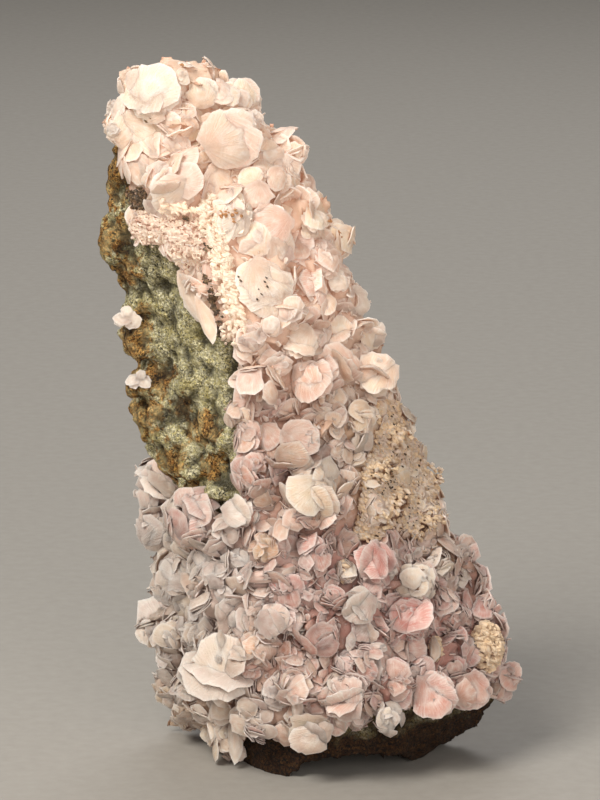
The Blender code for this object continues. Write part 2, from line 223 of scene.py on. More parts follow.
# %% Patches of colour
# Each patch is (across, up, blush, smoke, honey), where blush is pink, smoke grey and honey tan
PATCHES = [
    (-22.5, 93.5, 0.08, 0.04, 0.04), (-14.0, 95.0, 0.22, 0.0, 0.16), (-5.0, 84.0, 0.45, 0.0, 0.15),
    (-16.5, 85.5, 0.55, 0.0, 0.22),
    (-19.5, 73.0, 0.42, 0.22, 0.02), (0.0, 78.0, 0.48, 0.0, 0.14), (3.5, 72.5, 0.15, 0.0, 0.22),
    (-6.0, 67.0, 0.25, 0.0, 0.12), (1.0, 68.0, 0.80, 0.0, 0.10), (6.5, 62.0, 0.25, 0.25, 0.03),
    (-2.0, 56.0, 0.45, 0.05, 0.16), (-8.0, 51.0, 0.62, 0.03, 0.14), (8.0, 53.0, 0.30, 0.08, 0.28),
    (-8.0, 41.0, 0.74, 0.02, 0.10), (1.0, 40.0, 0.42, 0.0, 0.30), (-23.0, 38.0, 0.15, 0.30, 0.08),
    (-18.0, 27.0, 0.15, 0.60, 0.10), (-10.0, 24.0, 0.35, 0.45, 0.02), (-1.0, 27.0, 0.72, 0.15, 0.04),
    (8.0, 27.0, 0.80, 0.22, 0.0), (17.0, 27.0, 0.25, 0.0, 0.25), (-20.0, 14.0, 0.12, 0.58, 0.12),
    (-12.0, 12.0, 0.20, 0.50, 0.12), (-3.0, 14.0, 0.80, 0.12, 0.12), (13.0, 20.0, 0.82, 0.14, 0.0),
    (22.0, 21.0, 0.75, 0.15, 0.04), (-16.0, 3.0, 0.10, 0.30, 0.42), (-4.0, 5.0, 0.35, 0.30, 0.22),
    (12.0, 42.0, 0.05, 0.0, 0.75), (5.0, 8.0, 0.60, 0.05, 0.08), (16.0, 9.5, 0.82, 0.12, 0.02), (27.0, 11.0, 0.62, 0.22, 0.0),
]
PATCH_PLACES = np.array([patch[:2] for patch in PATCHES])
PATCH_VALUES = np.array([patch[2:] for patch in PATCHES])
PATCH_REACH = 4.5


def in_view(point):
    """How far across and up the view a point shows, in millimetres."""
    return point.x / MM, point.dot(VIEW_UP) / MM


def character(across, up):
    """Blush, smoke and honey at a place in the view."""
    away = np.hypot(PATCH_PLACES[:, 0] - across, PATCH_PLACES[:, 1] - up)
    shares = np.exp(-0.5 * (away / PATCH_REACH) ** 2) + 1e-6
    return shares @ PATCH_VALUES / shares.sum()


print(len(PATCHES), "patches of colour")

# %% [markdown]
# ## Host rock
# The rock is an altered, grainy stone. Its bare flank is olive and yellow-green with black grains,
# and its left edge is stained with rust. It could be sculpted by hand. A fine even mesh of the packed
# solid, pushed in and out by two procedural textures, gives the same grainy break and is repeatable.

# %% Rock body
# Rusty lumps and seams of the left edge: (across, up, radius)
RUSTY = [(-28.6, 85.5, 2.6), (-27.5, 82.0, 3.0), (-28.3, 79.5, 2.6), (-28.0, 73.5, 3.6), (-26.0, 68.5, 2.4), (-25.0, 59.0, 2.8),
         (-25.5, 53.0, 2.8), (-22.0, 53.5, 2.8), (-23.8, 48.0, 3.0), (-19.7, 42.0, 2.6), (-18.0, 49.5, 1.8),
         (-15.0, 46.5, 2.4), (-13.5, 41.5, 2.0), (-17.0, 37.5, 1.8), (-24.0, 63.0, 1.6)]
ROCK_GRID = 0.5 * MM
COBBLE_SIZE = 2.6 * MM
COBBLE_RELIEF = 1.3 * MM
GRAIN_SIZE = 1.1 * MM
GRAIN_RELIEF = 0.55 * MM
PIT_SIZE = 3.0 * MM
PIT_RELIEF = 1.5 * MM
KNOB_RELIEF = 0.7 * MM

rock = packed_copy("host_rock", "rock")
rock_tree = tree_of(rock)
applied(rock, "REMESH", mode="VOXEL", voxel_size=ROCK_GRID)

grains = bpy.data.textures.new("grains", "VORONOI")
grains.noise_scale = GRAIN_SIZE
pits = bpy.data.textures.new("pits", "CLOUDS")
pits.noise_scale = PIT_SIZE
pits.noise_depth = 4
cobbles = bpy.data.textures.new("cobbles", "VORONOI")
cobbles.noise_scale = COBBLE_SIZE
off_floor = rock.vertex_groups.new(name="off the floor")
for vertex in rock.data.vertices:
    off_floor.add([vertex.index], min(1.0, max(0.0, vertex.co.z / (1.5 * MM))), "REPLACE")
smooth_rock = points_of(rock.data)
applied(rock, "DISPLACE", texture=pits, texture_coords="LOCAL", strength=PIT_RELIEF,
        mid_level=0.55, vertex_group="off the floor")
applied(rock, "DISPLACE", texture=cobbles, texture_coords="LOCAL", strength=-COBBLE_RELIEF,
        mid_level=0.35, vertex_group="off the floor")
applied(rock, "DISPLACE", texture=grains, texture_coords="LOCAL", strength=-GRAIN_RELIEF,
        mid_level=0.45, vertex_group="off the floor")
knobs = rock.vertex_groups.new(name="rusty knobs")
for vertex in rock.data.vertices:
    across, up = in_view(vertex.co)
    rise = max(1.0 - math.hypot(across - x, up - y) / radius for x, y, radius in RUSTY)
    knobs.add([vertex.index], max(0.0, rise), "REPLACE")
# How far each point was pushed in; the rock finish paints shade into these hollows.
moves = points_of(rock.data) - smooth_rock
outwards = np.array([vertex.normal[:] for vertex in rock.data.vertices])
keep_values(rock, "hollow", np.clip(-(moves * outwards).sum(axis=1) / (0.7 * MM), 0.0, 1.0))
applied(rock, "DISPLACE", strength=KNOB_RELIEF, mid_level=0.0, vertex_group="rusty knobs")
rock.data.shade_smooth()
print("rock:", len(rock.data.polygons), "faces")

# %% Rust on the rock
def rust_at(point):
    across, up = in_view(point)
    nearest = max(1.0 - math.hypot(across - x, up - y) / (1.5 * radius) for x, y, radius in RUSTY)
    wander = 0.5 * noise.noise(point * 450.0) + 0.25 * noise.noise(point * 1100.0)
    return min(1.0, max(0.0, 1.5 * nearest + wander))


keep_values(rock, "rust", [rust_at(vertex.co) for vertex in rock.data.vertices])

def shadowed_at(vertex):
    """How much painted shade a place gets, for lying low down or facing the floor."""
    foot = 1.7 - vertex.co.z / (8 * MM)
    return min(1.0, max(0.0, foot - 0.4 * vertex.normal.z))


keep_values(rock, "shadowed", [shadowed_at(vertex) for vertex in rock.data.vertices])

# %% [markdown]
# ## Material helpers
# A material is a small chart of nodes. Three helpers keep the charts short: one adds a node, one
# mixes two colours, and one does a sum. Placing nodes by hand works as well, but a chart in code can
# be read from top to bottom.

# %% Nodes in a few words
def feed(tree, socket, value):
    if isinstance(value, bpy.types.NodeSocket):
        tree.links.new(value, socket)
    else:
        socket.default_value = value


def node(tree, kind, feeds=(), **settings):
    made = tree.nodes.new("ShaderNode" + kind)
    for key, value in settings.items():
        setattr(made, key, value)
    for name, value in dict(feeds).items():
        feed(tree, made.inputs[name], value)
    return made


def mixed(tree, share, first, second, mode="MIX"):
    """First where the share is 0, second where it is 1."""
    made = tree.nodes.new("ShaderNodeMix")
    made.data_type = "RGBA"
    made.blend_type = mode
    for socket, value in zip((made.inputs[0], made.inputs[6], made.inputs[7]), (share, first, second)):
        feed(tree, socket, value)
    return made.outputs[2]


def summed(tree, operation, first, second=0.5, third=0.5):
    made = node(tree, "Math", operation=operation, use_clamp=operation not in ("SINE", "POWER"))
    for socket, value in zip(made.inputs, (first, second, third)):
        feed(tree, socket, value)
    return made.outputs[0]


def ranged(tree, value, low, high, new_low=0.0, new_high=1.0):
    made = node(tree, "MapRange", {"Value": value, "From Min": low, "From Max": high,
                                   "To Min": new_low, "To Max": new_high})
    return made.outputs["Result"]


def mixed_value(tree, share, first, second):
    made = node(tree, "MapRange", {"Value": share, "To Min": first, "To Max": second})
    return made.outputs["Result"]


def stored(tree, name):
    return node(tree, "Attribute", attribute_name=name).outputs["Fac"]


def here(tree):
    return node(tree, "TexCoord").outputs["Object"]


def clouds(tree, size, detail=3.0, roughness=0.55):
    """Soft noise whose lumps are about this many metres across."""
    made = node(tree, "TexNoise", {"Vector": here(tree), "Scale": 1.0 / size, "Detail": detail,
                                   "Roughness": roughness})
    return made.outputs["Fac"]


def cells(tree, size, feature="F1"):
    made = node(tree, "TexVoronoi", {"Vector": here(tree), "Scale": 1.0 / size}, feature=feature)
    return made


def new_group(name, inputs, outputs):
    """A node group with named sockets: inputs are (name, kind, value) and outputs (name, kind)."""
    group = bpy.data.node_groups.new(name, "ShaderNodeTree")
    for label, kind, value in inputs:
        socket = group.interface.new_socket(label, in_out="INPUT", socket_type="NodeSocket" + kind)
        socket.default_value = value
    for label, kind in outputs:
        group.interface.new_socket(label, in_out="OUTPUT", socket_type="NodeSocket" + kind)
    return group, group.nodes.new("NodeGroupInput").outputs, group.nodes.new("NodeGroupOutput").inputs


def use_group(tree, group, feeds):
    made = tree.nodes.new("ShaderNodeGroup")
    made.node_tree = group
    for name, value in feeds.items():
        feed(tree, made.inputs[name], value)
    return made.outputs


def new_material(name, **plain):
    """A Principled material. Plain values sit on the shader's own sockets."""
    material = bpy.data.materials.new(name)
    material.use_nodes = True
    shader = material.node_tree.nodes["Principled BSDF"]
    for label, value in plain.items():
        shader.inputs[label.replace("_", " ")].default_value = value
    return material, material.node_tree, shader


def relief(tree, shader, height, depth):
    bump = node(tree, "Bump", {"Height": height, "Distance": depth})
    tree.links.new(bump.outputs["Normal"], shader.inputs["Normal"])


def colour(red, green, blue):
    """A colour as a screen shows it, 0 to 255, as the linear values that a shader works with."""
    def linear(value):
        value /= 255.0
        return value / 12.92 if value <= 0.04045 else ((value + 0.055) / 1.055) ** 2.4
    return (linear(red), linear(green), linear(blue), 1.0)


# %% [markdown]
# ## Grains and stains
# Rock shows grains of several tones with dark gaps between them. Rust lies over it in patches. Both
# the rock and the tan grains on the crust need this, so it is a group that each one fills with its
# own colours.

# %% Grainy stone as a node group
grain_group, given, out = new_group(
    "grainy stone",
    [("Light", "Color", colour(255, 246, 204)), ("Middle", "Color", colour(216, 202, 140)),
     ("Dark", "Color", colour(28, 24, 18)), ("Size", "Float", 0.9 * MM), ("Specks", "Float", 0.35)],
    [("Colour", "Color"), ("Height", "Float")])
tree = grain_group
per_metre = summed(tree, "DIVIDE", 1.0, given["Size"])
tree.nodes[-1].use_clamp = False
coarse = node(tree, "TexVoronoi", {"Vector": here(tree), "Scale": per_metre}, feature="F1")
tone = node(tree, "SeparateColor", {"Color": coarse.outputs["Color"]}).outputs["Red"]
wander = node(tree, "TexNoise", {"Vector": here(tree), "Scale": per_metre, "Detail": 6.0,
                                 "Roughness": 0.65}).outputs["Fac"]
tone = summed(tree, "ADD", summed(tree, "MULTIPLY", tone, 0.55), summed(tree, "MULTIPLY", wander, 0.55))
grain_colour = mixed(tree, ranged(tree, tone, 0.4, 0.66), given["Middle"], given["Light"])
gap = ranged(tree, summed(tree, "ADD", coarse.outputs["Distance"], ranged(tree, wander, 0.4, 0.7, 0.0, 0.6)),
             0.7, 1.0)
speck = node(tree, "TexNoise", {"Vector": here(tree), "Scale": per_metre, "Detail": 8.0,
                                "Roughness": 0.8, "Distortion": 0.6}).outputs["Fac"]
flat = node(tree, "VectorMath", {0: here(tree), 1: (0.45, 0.45, 1.2)}, operation="MULTIPLY").outputs[0]
fibre = node(tree, "TexNoise", {"Vector": flat, "Scale": per_metre, "Detail": 5.0, "Roughness": 0.65,
                                "Distortion": 1.4}).outputs["Fac"]
line = summed(tree, "MULTIPLY", ranged(tree, fibre, 0.5, 0.54, 1.0, 0.0), ranged(tree, fibre, 0.46, 0.5, 0.0, 1.0))
dark = summed(tree, "GREATER_THAN", speck, summed(tree, "SUBTRACT", 0.78, summed(tree, "MULTIPLY", given["Specks"], 0.6)))
shade = summed(tree, "MAXIMUM", summed(tree, "MULTIPLY", gap, 0.6), dark)
shade = summed(tree, "MAXIMUM", shade, summed(tree, "MULTIPLY", line, 0.95))
feed(tree, out["Colour"], mixed(tree, shade, grain_colour, given["Dark"]))
feed(tree, out["Height"], summed(tree, "SUBTRACT", wander, summed(tree, "MULTIPLY", shade, 0.4)))
print("group:", grain_group.name)

# %% Rock finish
rock_finish, tree, shader = new_material("olive_rock", Roughness=0.85, Specular_IOR_Level=0.3)
green = use_group(tree, grain_group, {"Size": 0.32 * MM, "Specks": 0.38})
rusty = use_group(tree, grain_group, {
    "Light": colour(242, 190, 110), "Middle": colour(176, 120, 58), "Dark": colour(38, 24, 14),
    "Size": 0.36 * MM, "Specks": 0.42})
rust = summed(tree, "ADD", stored(tree, "rust"), ranged(tree, clouds(tree, 1.0 * MM, 5.0), 0.35, 0.65, -0.45, 0.25))
stone = mixed(tree, ranged(tree, rust, 0.35, 0.6), green["Colour"], rusty["Colour"])
stone = mixed(tree, ranged(tree, clouds(tree, 5.0 * MM), 0.5, 0.66), stone, colour(214, 208, 178), "MULTIPLY")
pale = ranged(tree, clouds(tree, 2.2 * MM, 5.0), 0.48, 0.62, 0.0, 0.4)
stone = mixed(tree, pale, stone, colour(230, 216, 158), "SCREEN")
# Painted shade: the deeper a point was pushed in, the darker it is painted.
painted_recess_shade = ranged(tree, stored(tree, "hollow"), 0.4, 1.0, 0.0, 0.8)
stone = mixed(tree, painted_recess_shade, stone, colour(40, 34, 25))
# Painted shade: low down and where it faces the floor, the stone is painted a dark rusty brown.
foot = mixed(tree, 1.0, rusty["Colour"], colour(92, 80, 72), "MULTIPLY")
stone = mixed(tree, stored(tree, "shadowed"), stone, foot)
feed(tree, shader.inputs["Base Color"], stone)
relief(tree, shader, green["Height"], 0.4 * MM)
rock.data.materials.append(rock_finish)

# %% [markdown]
# ## The bed of the crust
# Under the rosettes the crystals have grown together into one lumpy bed that sparkles in the gaps,
# where painted shade makes it dark pink. The imported crust already has its outline, with thick
# plates where the blades stand. A fine mesh of it, smoothed until the plates melt into hills, is a
# bed that the real blades can root in.

# %% Crust bed
BED_GRID = 0.6 * MM
BED_SINK = 0.4 * MM
bed = packed_copy("calcite_crust", "crust_bed")
applied(bed, "REMESH", mode="VOXEL", voxel_size=BED_GRID)
applied(bed, "SMOOTH", factor=0.5, iterations=10)
applied(bed, "DISPLACE", strength=-BED_SINK, mid_level=0.0)
druse = bpy.data.textures.new("druse", "VORONOI")
druse.noise_scale = 0.9 * MM
applied(bed, "DISPLACE", texture=druse, texture_coords="LOCAL", strength=-0.4 * MM, mid_level=0.4)
bed.data.shade_smooth()
bed_tree = tree_of(bed)
print("bed:", len(bed.data.polygons), "faces")


# %% [markdown]
# ## Moulds for the blades
# A calcite blade is a thick lens of a plate with a ragged, paler rim and an uneven face. Each blade
# could be sculpted alone, but there are thousands. A few moulds are made here, from a disc
# that is pulled out of round, inset, domed and given a wall. Every blade is a copy that is stretched
# and bowed in its own way.

# %% Blade moulds
class Mould:
    def __init__(self, points, faces, rim):
        self.points, self.faces, self.rim = points, faces, rim


def blade_mould(name, sides, insets, root_width, ragged, scallop, thickness, seed):
    """A blade one unit long, from its root at the origin to its tip along +Y, facing +Z."""
    bpy.ops.object.select_all(action="DESELECT")
    bpy.ops.mesh.primitive_circle_add(vertices=sides, radius=0.5, fill_type="NGON", location=(0.0, 0.5, 0.0))
    blade = bpy.context.object
    blade.name = name
    bpy.ops.object.transform_apply(location=True)
    bpy.ops.object.mode_set(mode="EDIT")
    bpy.ops.mesh.select_mode(type="VERT")
    pick(blade, lambda vertex: vertex.index % 2 == 0)
    bpy.ops.transform.resize(value=(1.0 + scallop, 1.0 + scallop, 1.0), center_override=(0.0, 0.5, 0.0))
    corner = seed % 4
    pick(blade, lambda vertex: vertex.index * 4 // sides == corner)
    bpy.ops.transform.resize(value=(1.24, 1.14, 1.0), center_override=(0.0, 0.5, 0.0))
    pick(blade, lambda vertex: vertex.index * 4 // sides == (corner + 2) % 4)
    bpy.ops.transform.resize(value=(0.84, 0.86, 1.0), center_override=(0.0, 0.5, 0.0))
    bpy.ops.mesh.select_all(action="SELECT")
    bpy.ops.transform.vertex_random(offset=ragged, uniform=1.0, normal=0.0, seed=seed)
    pick(blade, lambda vertex: vertex.co.y < 0.3)
    bpy.ops.transform.resize(value=(root_width, 1.0, 1.0), center_override=(0.0, 0.0, 0.0))
    bpy.ops.mesh.select_all(action="SELECT")
    for inset_width, rise in insets:
        bpy.ops.mesh.inset(thickness=inset_width, depth=rise, use_even_offset=False)
    bpy.ops.mesh.poke()
    bpy.ops.object.mode_set(mode="OBJECT")
    # The rim value, 1 on the rim, later turns the rim towards white: partly the paler edge of thin calcite, partly a
    # painted highlight.
    rings = len(insets) + 1
    rim = [max(0.0, 1.0 - vertex.index // sides / rings) for vertex in blade.data.vertices]
    applied(blade, "SOLIDIFY", thickness=thickness, offset=0.0)
    rim = np.array(rim + rim)
    bpy.ops.object.mode_set(mode="EDIT")
    pick(blade, lambda vertex: rim[vertex.index] == 1.0)
    bpy.ops.transform.resize(value=(1.0, 1.0, 0.5), center_override=(0.0, 0.5, 0.0))
    pick(blade, lambda vertex: rim[vertex.index] < 1.0)
    bpy.ops.mesh.vertices_smooth(factor=0.5, repeat=5)
    bpy.ops.mesh.select_all(action="SELECT")
    bpy.ops.mesh.quads_convert_to_tris()
    bpy.ops.mesh.normals_make_consistent(inside=False)
    bpy.ops.object.mode_set(mode="OBJECT")
    points = points_of(blade.data)
    faces = np.array([tuple(polygon.vertices) for polygon in blade.data.polygons])
    bpy.data.objects.remove(blade, do_unlink=True)
    return Mould(points, faces, rim)


PETALS = [blade_mould("petal", 16, [(0.05, 0.02), (0.13, 0.02)], 0.85, 0.05, 0.02, 0.1, seed)
          for seed in (1, 2, 3)]
PETALS += [blade_mould("jagged_petal", 12, [(0.05, 0.02), (0.13, 0.02)], 0.8, 0.075, 0.02, 0.1, seed)
           for seed in (4, 5, 6, 7)]
CHIPS = [blade_mould("chip", 6, [(0.12, 0.02)], 0.7, 0.08, 0.03, 0.2, seed) for seed in (5, 6, 7)]
BROAD = [blade_mould("plate", 26, [(0.02, 0.01), (0.06, 0.015), (0.1, 0.015), (0.1, 0.01)], 0.95, 0.045, 0.02, 0.08, seed)
         for seed in (7, 8, 9, 10)]
FLAKES = [blade_mould("flake", 7, [], 0.8, 0.09, 0.0, 0.1, seed) for seed in (12, 13, 14, 15)]
LONG = [blade_mould("lath", 16, [(0.05, 0.02), (0.15, 0.02)], 0.85, 0.04, 0.02, 0.08, seed) for seed in (10, 11)]


def grain_mould(seed):
    """A rounded, lumpy grain one unit across, that sits on the origin along +Y."""
    bpy.ops.object.select_all(action="DESELECT")
    bpy.ops.mesh.primitive_ico_sphere_add(subdivisions=1, radius=0.5, location=(0.0, 0.5, 0.0))
    grain = bpy.context.object
    bpy.ops.object.transform_apply(location=True)
    bpy.ops.object.mode_set(mode="EDIT")
    bpy.ops.mesh.select_all(action="SELECT")
    bpy.ops.transform.vertex_random(offset=0.16, uniform=1.0, normal=0.0, seed=seed)
    bpy.ops.transform.resize(value=(1.2, 0.9, 0.6), center_override=(0.0, 0.5, 0.0))
    bpy.ops.object.mode_set(mode="OBJECT")
    points = points_of(grain.data)
    faces = np.array([tuple(polygon.vertices) for polygon in grain.data.polygons])
    bpy.data.objects.remove(grain, do_unlink=True)
    return Mould(points, faces, np.full(len(points), 0.5))


GRAINS = [grain_mould(seed) for seed in (21, 22, 23, 24)]
for label, moulds in (("petal", PETALS), ("chip", CHIPS), ("plate", BROAD), ("flake", FLAKES), ("lath", LONG)):
    print(label, "moulds:", [len(mould.faces) for mould in moulds], "faces")


# %% [markdown]
# ## Growing
# A growth gathers many bowed copies of the moulds into one mesh, and keeps for each point how near
# the rim and how far from the root it is, and the tone of its blade. Separate objects would do the
# same but thousands of them are slow to handle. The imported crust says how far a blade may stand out.

# %% One blade
VALUES = ("rim", "reach", "across", "blush", "smoke", "honey", "tint")
LOWEST = 0.25 * MM
FOREMOST = -20.0 * MM
NAMED_STANDS_OUT = 1.7 * MM
OTHERS_STAND_OUT = 1.2 * MM
CROWN_TOP = 94.0
crust_tree = tree_of(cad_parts["calcite_crust"])


def too_far_out(points, most):
    """Whether a blade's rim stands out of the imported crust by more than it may."""
    for point in points:
        nearest, normal, _, away = crust_tree.find_nearest(point)
        if away > most and (Vector(point) - nearest).dot(normal) > 0.0:
            return True
    return False


class Growth:
    def __init__(self):
        self.points, self.faces, self.values, self.size = [], [], {name: [] for name in VALUES}, 0
        self.stands_out = NAMED_STANDS_OUT

    def blade(self, mould, root, outward, face, length, width, tone, cup=0.0, roll=0.0, thick=1.0, free=False):
        """A copy of the mould that grows outward from its root, with its inner side to face."""
        x, y, z = mould.points.T
        lift = roll * y ** 2 + cup * x ** 2
        outward = outward.normalized()
        side = outward.cross(face).normalized()
        face = side.cross(outward)
        points = (np.array(root) + np.outer(y * length, outward) + np.outer(x * width, side)
                  + np.outer(z * thick * length + lift * length, face))
        points[:, 1] += max(0.0, FOREMOST - points[:, 1].min())
        most = self.stands_out * (0.4 if in_view(root)[1] > CROWN_TOP else 1.0)
        if points[:, 2].min() < LOWEST or (not free and too_far_out(points[mould.rim == 1.0][::3], most)):
            return
        self.points.append(points)
        self.faces.append(mould.faces + self.size)
        self.size += len(points)
        blush, smoke, honey = (min(1.0, max(0.0, value + chance.gauss(0.0, 0.09))) for value in tone)
        tint = chance.random()
        for name, value in zip(VALUES, (mould.rim, y, x, blush, smoke, honey, tint)):
            self.values[name].append(np.broadcast_to(value, len(points)))

    def piece(self, name, sharp=42.0):
        mesh = bpy.data.meshes.new(name)
        mesh.from_pydata(np.concatenate(self.points).tolist(), [], np.concatenate(self.faces).tolist())
        for vertex in mesh.vertices:
            vertex.co += warp(vertex.co)
        piece = bpy.data.objects.new(name, mesh)
        bpy.context.scene.collection.objects.link(piece)
        for label, values in self.values.items():
            keep_values(piece, label, np.concatenate(values))
        mesh.shade_smooth()
        mesh.set_sharp_from_angle(angle=math.radians(sharp))
        print(f"{name}: {len(self.points)} blades, {len(mesh.polygons)} faces")
        return piece


def warp(point):
    """A small wander of every point, so that no blade stays a regular shape."""
    return 0.13 * MM * noise.noise_vector(point / (1.6 * MM)) + 0.05 * MM * noise.noise_vector(point / (0.5 * MM))


# %% Balls, plates and books of blades
def turned(direction, angle, axis):
    return Matrix.Rotation(angle, 3, axis) @ direction


def jitter(direction, amount):
    return (direction + amount * Vector([chance.gauss(0.0, 1.0) for _ in range(3)])).normalized()


def book(growth, middle, facing, hinge, radius, count, tone, step=9.0, moulds=PETALS, cup=-0.2, thick=1.0,
         free=False):
    """A few blades on one another, opened like the leaves of a book about a hinge."""
    facing = facing.normalized()
    hinge = (hinge - facing * hinge.dot(facing)).normalized()
    for k in range(count):
        angle = math.radians(step * (k - (count - 1) / 2) + chance.uniform(-4.0, 4.0))
        face = turned(facing, angle, hinge)
        outward = turned(face.cross(hinge), chance.uniform(-0.5, 0.5), face)
        size = radius * chance.uniform(0.85, 1.1) * (1.0 - 0.06 * k)
        spot = middle + facing * 0.13 * radius * k + (hinge + face.cross(hinge)) * chance.uniform(-0.2, 0.2) * radius
        growth.blade(chance.choice(moulds), spot - outward * size, outward, face, 2.0 * size,
                     2.0 * size * chance.uniform(0.85, 1.15), tone, cup, cup * 0.3, thick, free)


def ball(growth, heart, axis, radius, plates, tone, moulds=PETALS, looseness=1.0):
    """Blades grown through each other over a dome. Low on the specimen they open wider and show more layers."""
    axis = axis.normalized()
    start = axis.orthogonal().normalized()
    first = chance.uniform(0.0, math.tau)
    up = in_view(heart)[1]
    open_wide = looseness * min(0.5, max(0.0, (68.0 - up) / 30.0)) * (1.0 - tone[1])
    plates = max(4, round(plates * (1.0 - 0.4 * tone[1])))
    for k in range(plates):
        share = (k + 0.3) / plates
        tilt = math.radians(82.0 * share ** 0.6 + chance.uniform(-8.0, 8.0))
        radial = turned(start, first + math.radians(137.5) * k + chance.uniform(-0.4, 0.4), axis)
        direction = axis * math.cos(tilt) + radial * math.sin(tilt)
        about = turned(direction.orthogonal().normalized(), chance.uniform(0.0, math.tau), direction)
        facing = turned(direction, math.radians(chance.uniform(6.0, 22.0) + 18.0 * open_wide), about)
        size = radius * chance.uniform(1.5, 2.2) * (1.1 - 0.4 * share) / math.sqrt(plates + 1)
        middle = heart + direction * (radius - 0.3 * size)
        layers = 3 if chance.random() < 0.5 * open_wide else chance.choice((1, 1, 2))
        book(growth, middle, facing, about, size, layers, tone, 7.0 + 4.0 * open_wide, moulds,
             thick=1.0 - 0.45 * open_wide)


def spray(growth, heart, axis, radius, blades, tone, moulds=PETALS):
    """Blades that stand edge out round an axis, each crossing the next."""
    first = chance.uniform(0.0, math.tau)
    for k in range(blades):
        radial = turned(axis.orthogonal().normalized(), first + math.radians(137.5) * k, axis)
        facing = jitter(radial + axis * chance.uniform(0.0, 0.9), 0.15)
        book(growth, heart + axis * 0.35 * radius, facing, axis, radius * chance.uniform(0.7, 1.0), 2, tone, 11.0, moulds)


# %% [markdown]
# ## The crystals that give the specimen its face
# The broad plates, the large rosettes and the long laths that a collector would know it by are named
# one by one, from the crown down.

# %% Named crystals
# Broad plates: (across, up, radius, lean aside, lean up, blush, smoke, honey)
PLATES = [
    (-21.9, 93.2, 3.5, -0.3, 0.3, 0.05, 0.0, 0.02),  # crown, big cream plate
    (-21.9, 91.2, 2.2, -0.1, -0.1, 0.0, 0.0, 0.0),  # crown, white plate on it
    (-23.6, 87.9, 3.4, -0.3, -0.35, 0.08, 0.12, 0.08),  # crown, bowl under it
    (-14.8, 93.0, 2.0, 0.0, 0.1, 0.12, 0.0, 0.12),  # crown, top lobe
    (-12.3, 92.4, 2.0, 0.3, 0.1, 0.12, 0.0, 0.1),  # crown, right lobe
    (-11.0, 86.3, 3.8, 0.15, -0.15, 0.42, 0.0, 0.08),  # round pink plate
    (-13.5, 87.9, 2.0, -0.2, -0.2, 0.2, 0.0, 0.12),  # plate left of it
    (-6.2, 84.2, 2.2, 0.3, 0.1, 0.25, 0.0, 0.12),  # cream lobe on the right edge
    (-19.1, 79.3, 3.1, -0.25, -0.25, 0.2, 0.05, 0.04),  # cream-pink bowl
    (-8.5, 79.7, 1.8, 0.0, 0.2, 0.08, 0.0, 0.12),  # jagged cream plate
    (-5.7, 74.6, 2.9, 0.25, 0.1, 0.6, 0.0, 0.1),  # smooth pink plate
    (-5.0, 71.3, 2.2, 0.2, -0.5, 0.5, 0.1, 0.1),  # shell under it
    (-6.7, 66.0, 3.9, 0.15, 0.0, 0.15, 0.0, 0.16),  # flat cream plate of the slab
    (0.1, 75.1, 1.8, 0.1, 0.1, 0.15, 0.0, 0.12),  # cream lump plate
    (2.9, 76.6, 1.5, 0.5, 0.1, 0.1, 0.0, 0.2),  # cream lump plate, right
    (3.8, 66.8, 1.3, 0.1, 0.1, 0.02, 0.05, 0.0),  # white blade
    (5.9, 64.1, 2.0, 0.45, -0.1, 0.12, 0.3, 0.0),  # white blade
    (7.8, 59.8, 2.0, 0.5, -0.2, 0.05, 0.1, 0.02),  # white blade
    (3.4, 59.8, 2.0, 0.1, 0.0, 0.3, 0.0, 0.22),  # square cream blade
    (-5.4, 60.8, 1.4, -0.1, -0.1, 0.2, 0.0, 0.0),  # small white disc
    (-1.5, 58.3, 2.4, 0.0, 0.1, 0.12, 0.0, 0.18),  # cream cluster
    (-5.0, 55.6, 2.1, -0.1, -0.6, 0.4, 0.25, 0.0),  # shell facing down
    (0.1, 53.4, 2.9, -0.5, -0.1, 0.75, 0.12, 0.1),  # mauve blade
    (3.6, 55.0, 3.2, 0.1, -0.15, 0.5, 0.12, 0.18),  # beige-pink plate
    (8.5, 54.2, 3.1, 0.5, 0.0, 0.25, 0.1, 0.3),  # cream plate at the right
    (6.6, 45.5, 2.0, 0.1, -0.3, 0.1, 0.25, 0.05),  # white blade
    (-19.8, 39.4, 3.5, 0.2, 0.25, 0.0, 0.0, 0.02),  # white blade upper left
    (-22.2, 34.0, 2.5, 0.2, -0.2, 0.2, 0.2, 0.2),  # beige blade under it
    (-9.5, 35.0, 2.2, -0.3, -0.1, 0.12, 0.35, 0.0),  # grey fan blade
    (-18.6, 25.6, 2.5, -0.4, -0.1, 0.12, 0.55, 0.12),  # grey smooth blade
    (-16.9, 21.7, 2.1, -0.4, -0.2, 0.15, 0.55, 0.15),  # grey smooth blade
    (-5.4, 20.0, 2.2, 0.0, 0.1, 0.2, 0.1, 0.0),  # white-pink disc
    (-12.4, 13.0, 4.6, -0.25, 0.2, 0.08, 0.5, 0.12),  # scoop blade
    (13.8, 20.2, 2.9, 0.05, 0.35, 0.75, 0.05, 0.0),  # pink oval disc
    (6.8, 22.3, 2.4, -0.2, 0.0, 0.15, 0.2, 0.0),  # white elongated
    (7.5, 18.8, 1.7, 0.0, -0.4, 0.3, 0.45, 0.0),  # clear blade
    (8.6, 27.9, 2.8, 0.0, 0.5, 0.75, 0.25, 0.0),  # mauve disc
    (13.1, 16.0, 2.2, 0.0, -0.2, 0.45, 0.1, 0.0),  # block blade
    (-0.1, 4.6, 2.8, 0.1, -0.2, 0.3, 0.45, 0.25),  # smoky blade
    (27.7, 11.2, 2.0, 0.5, 0.1, 0.6, 0.2, 0.0),  # mauve at the far right
    (4.8, 8.3, 2.8, -0.2, 0.1, 0.4, 0.0, 0.12),  # foot, pale pink
    (17.0, 9.7, 2.9, 0.0, 0.1, 0.6, 0.0, 0.0),  # foot, pink
    (22.3, 10.0, 2.5, 0.2, 0.1, 0.6, 0.05, 0.0),  # foot, pink right
]

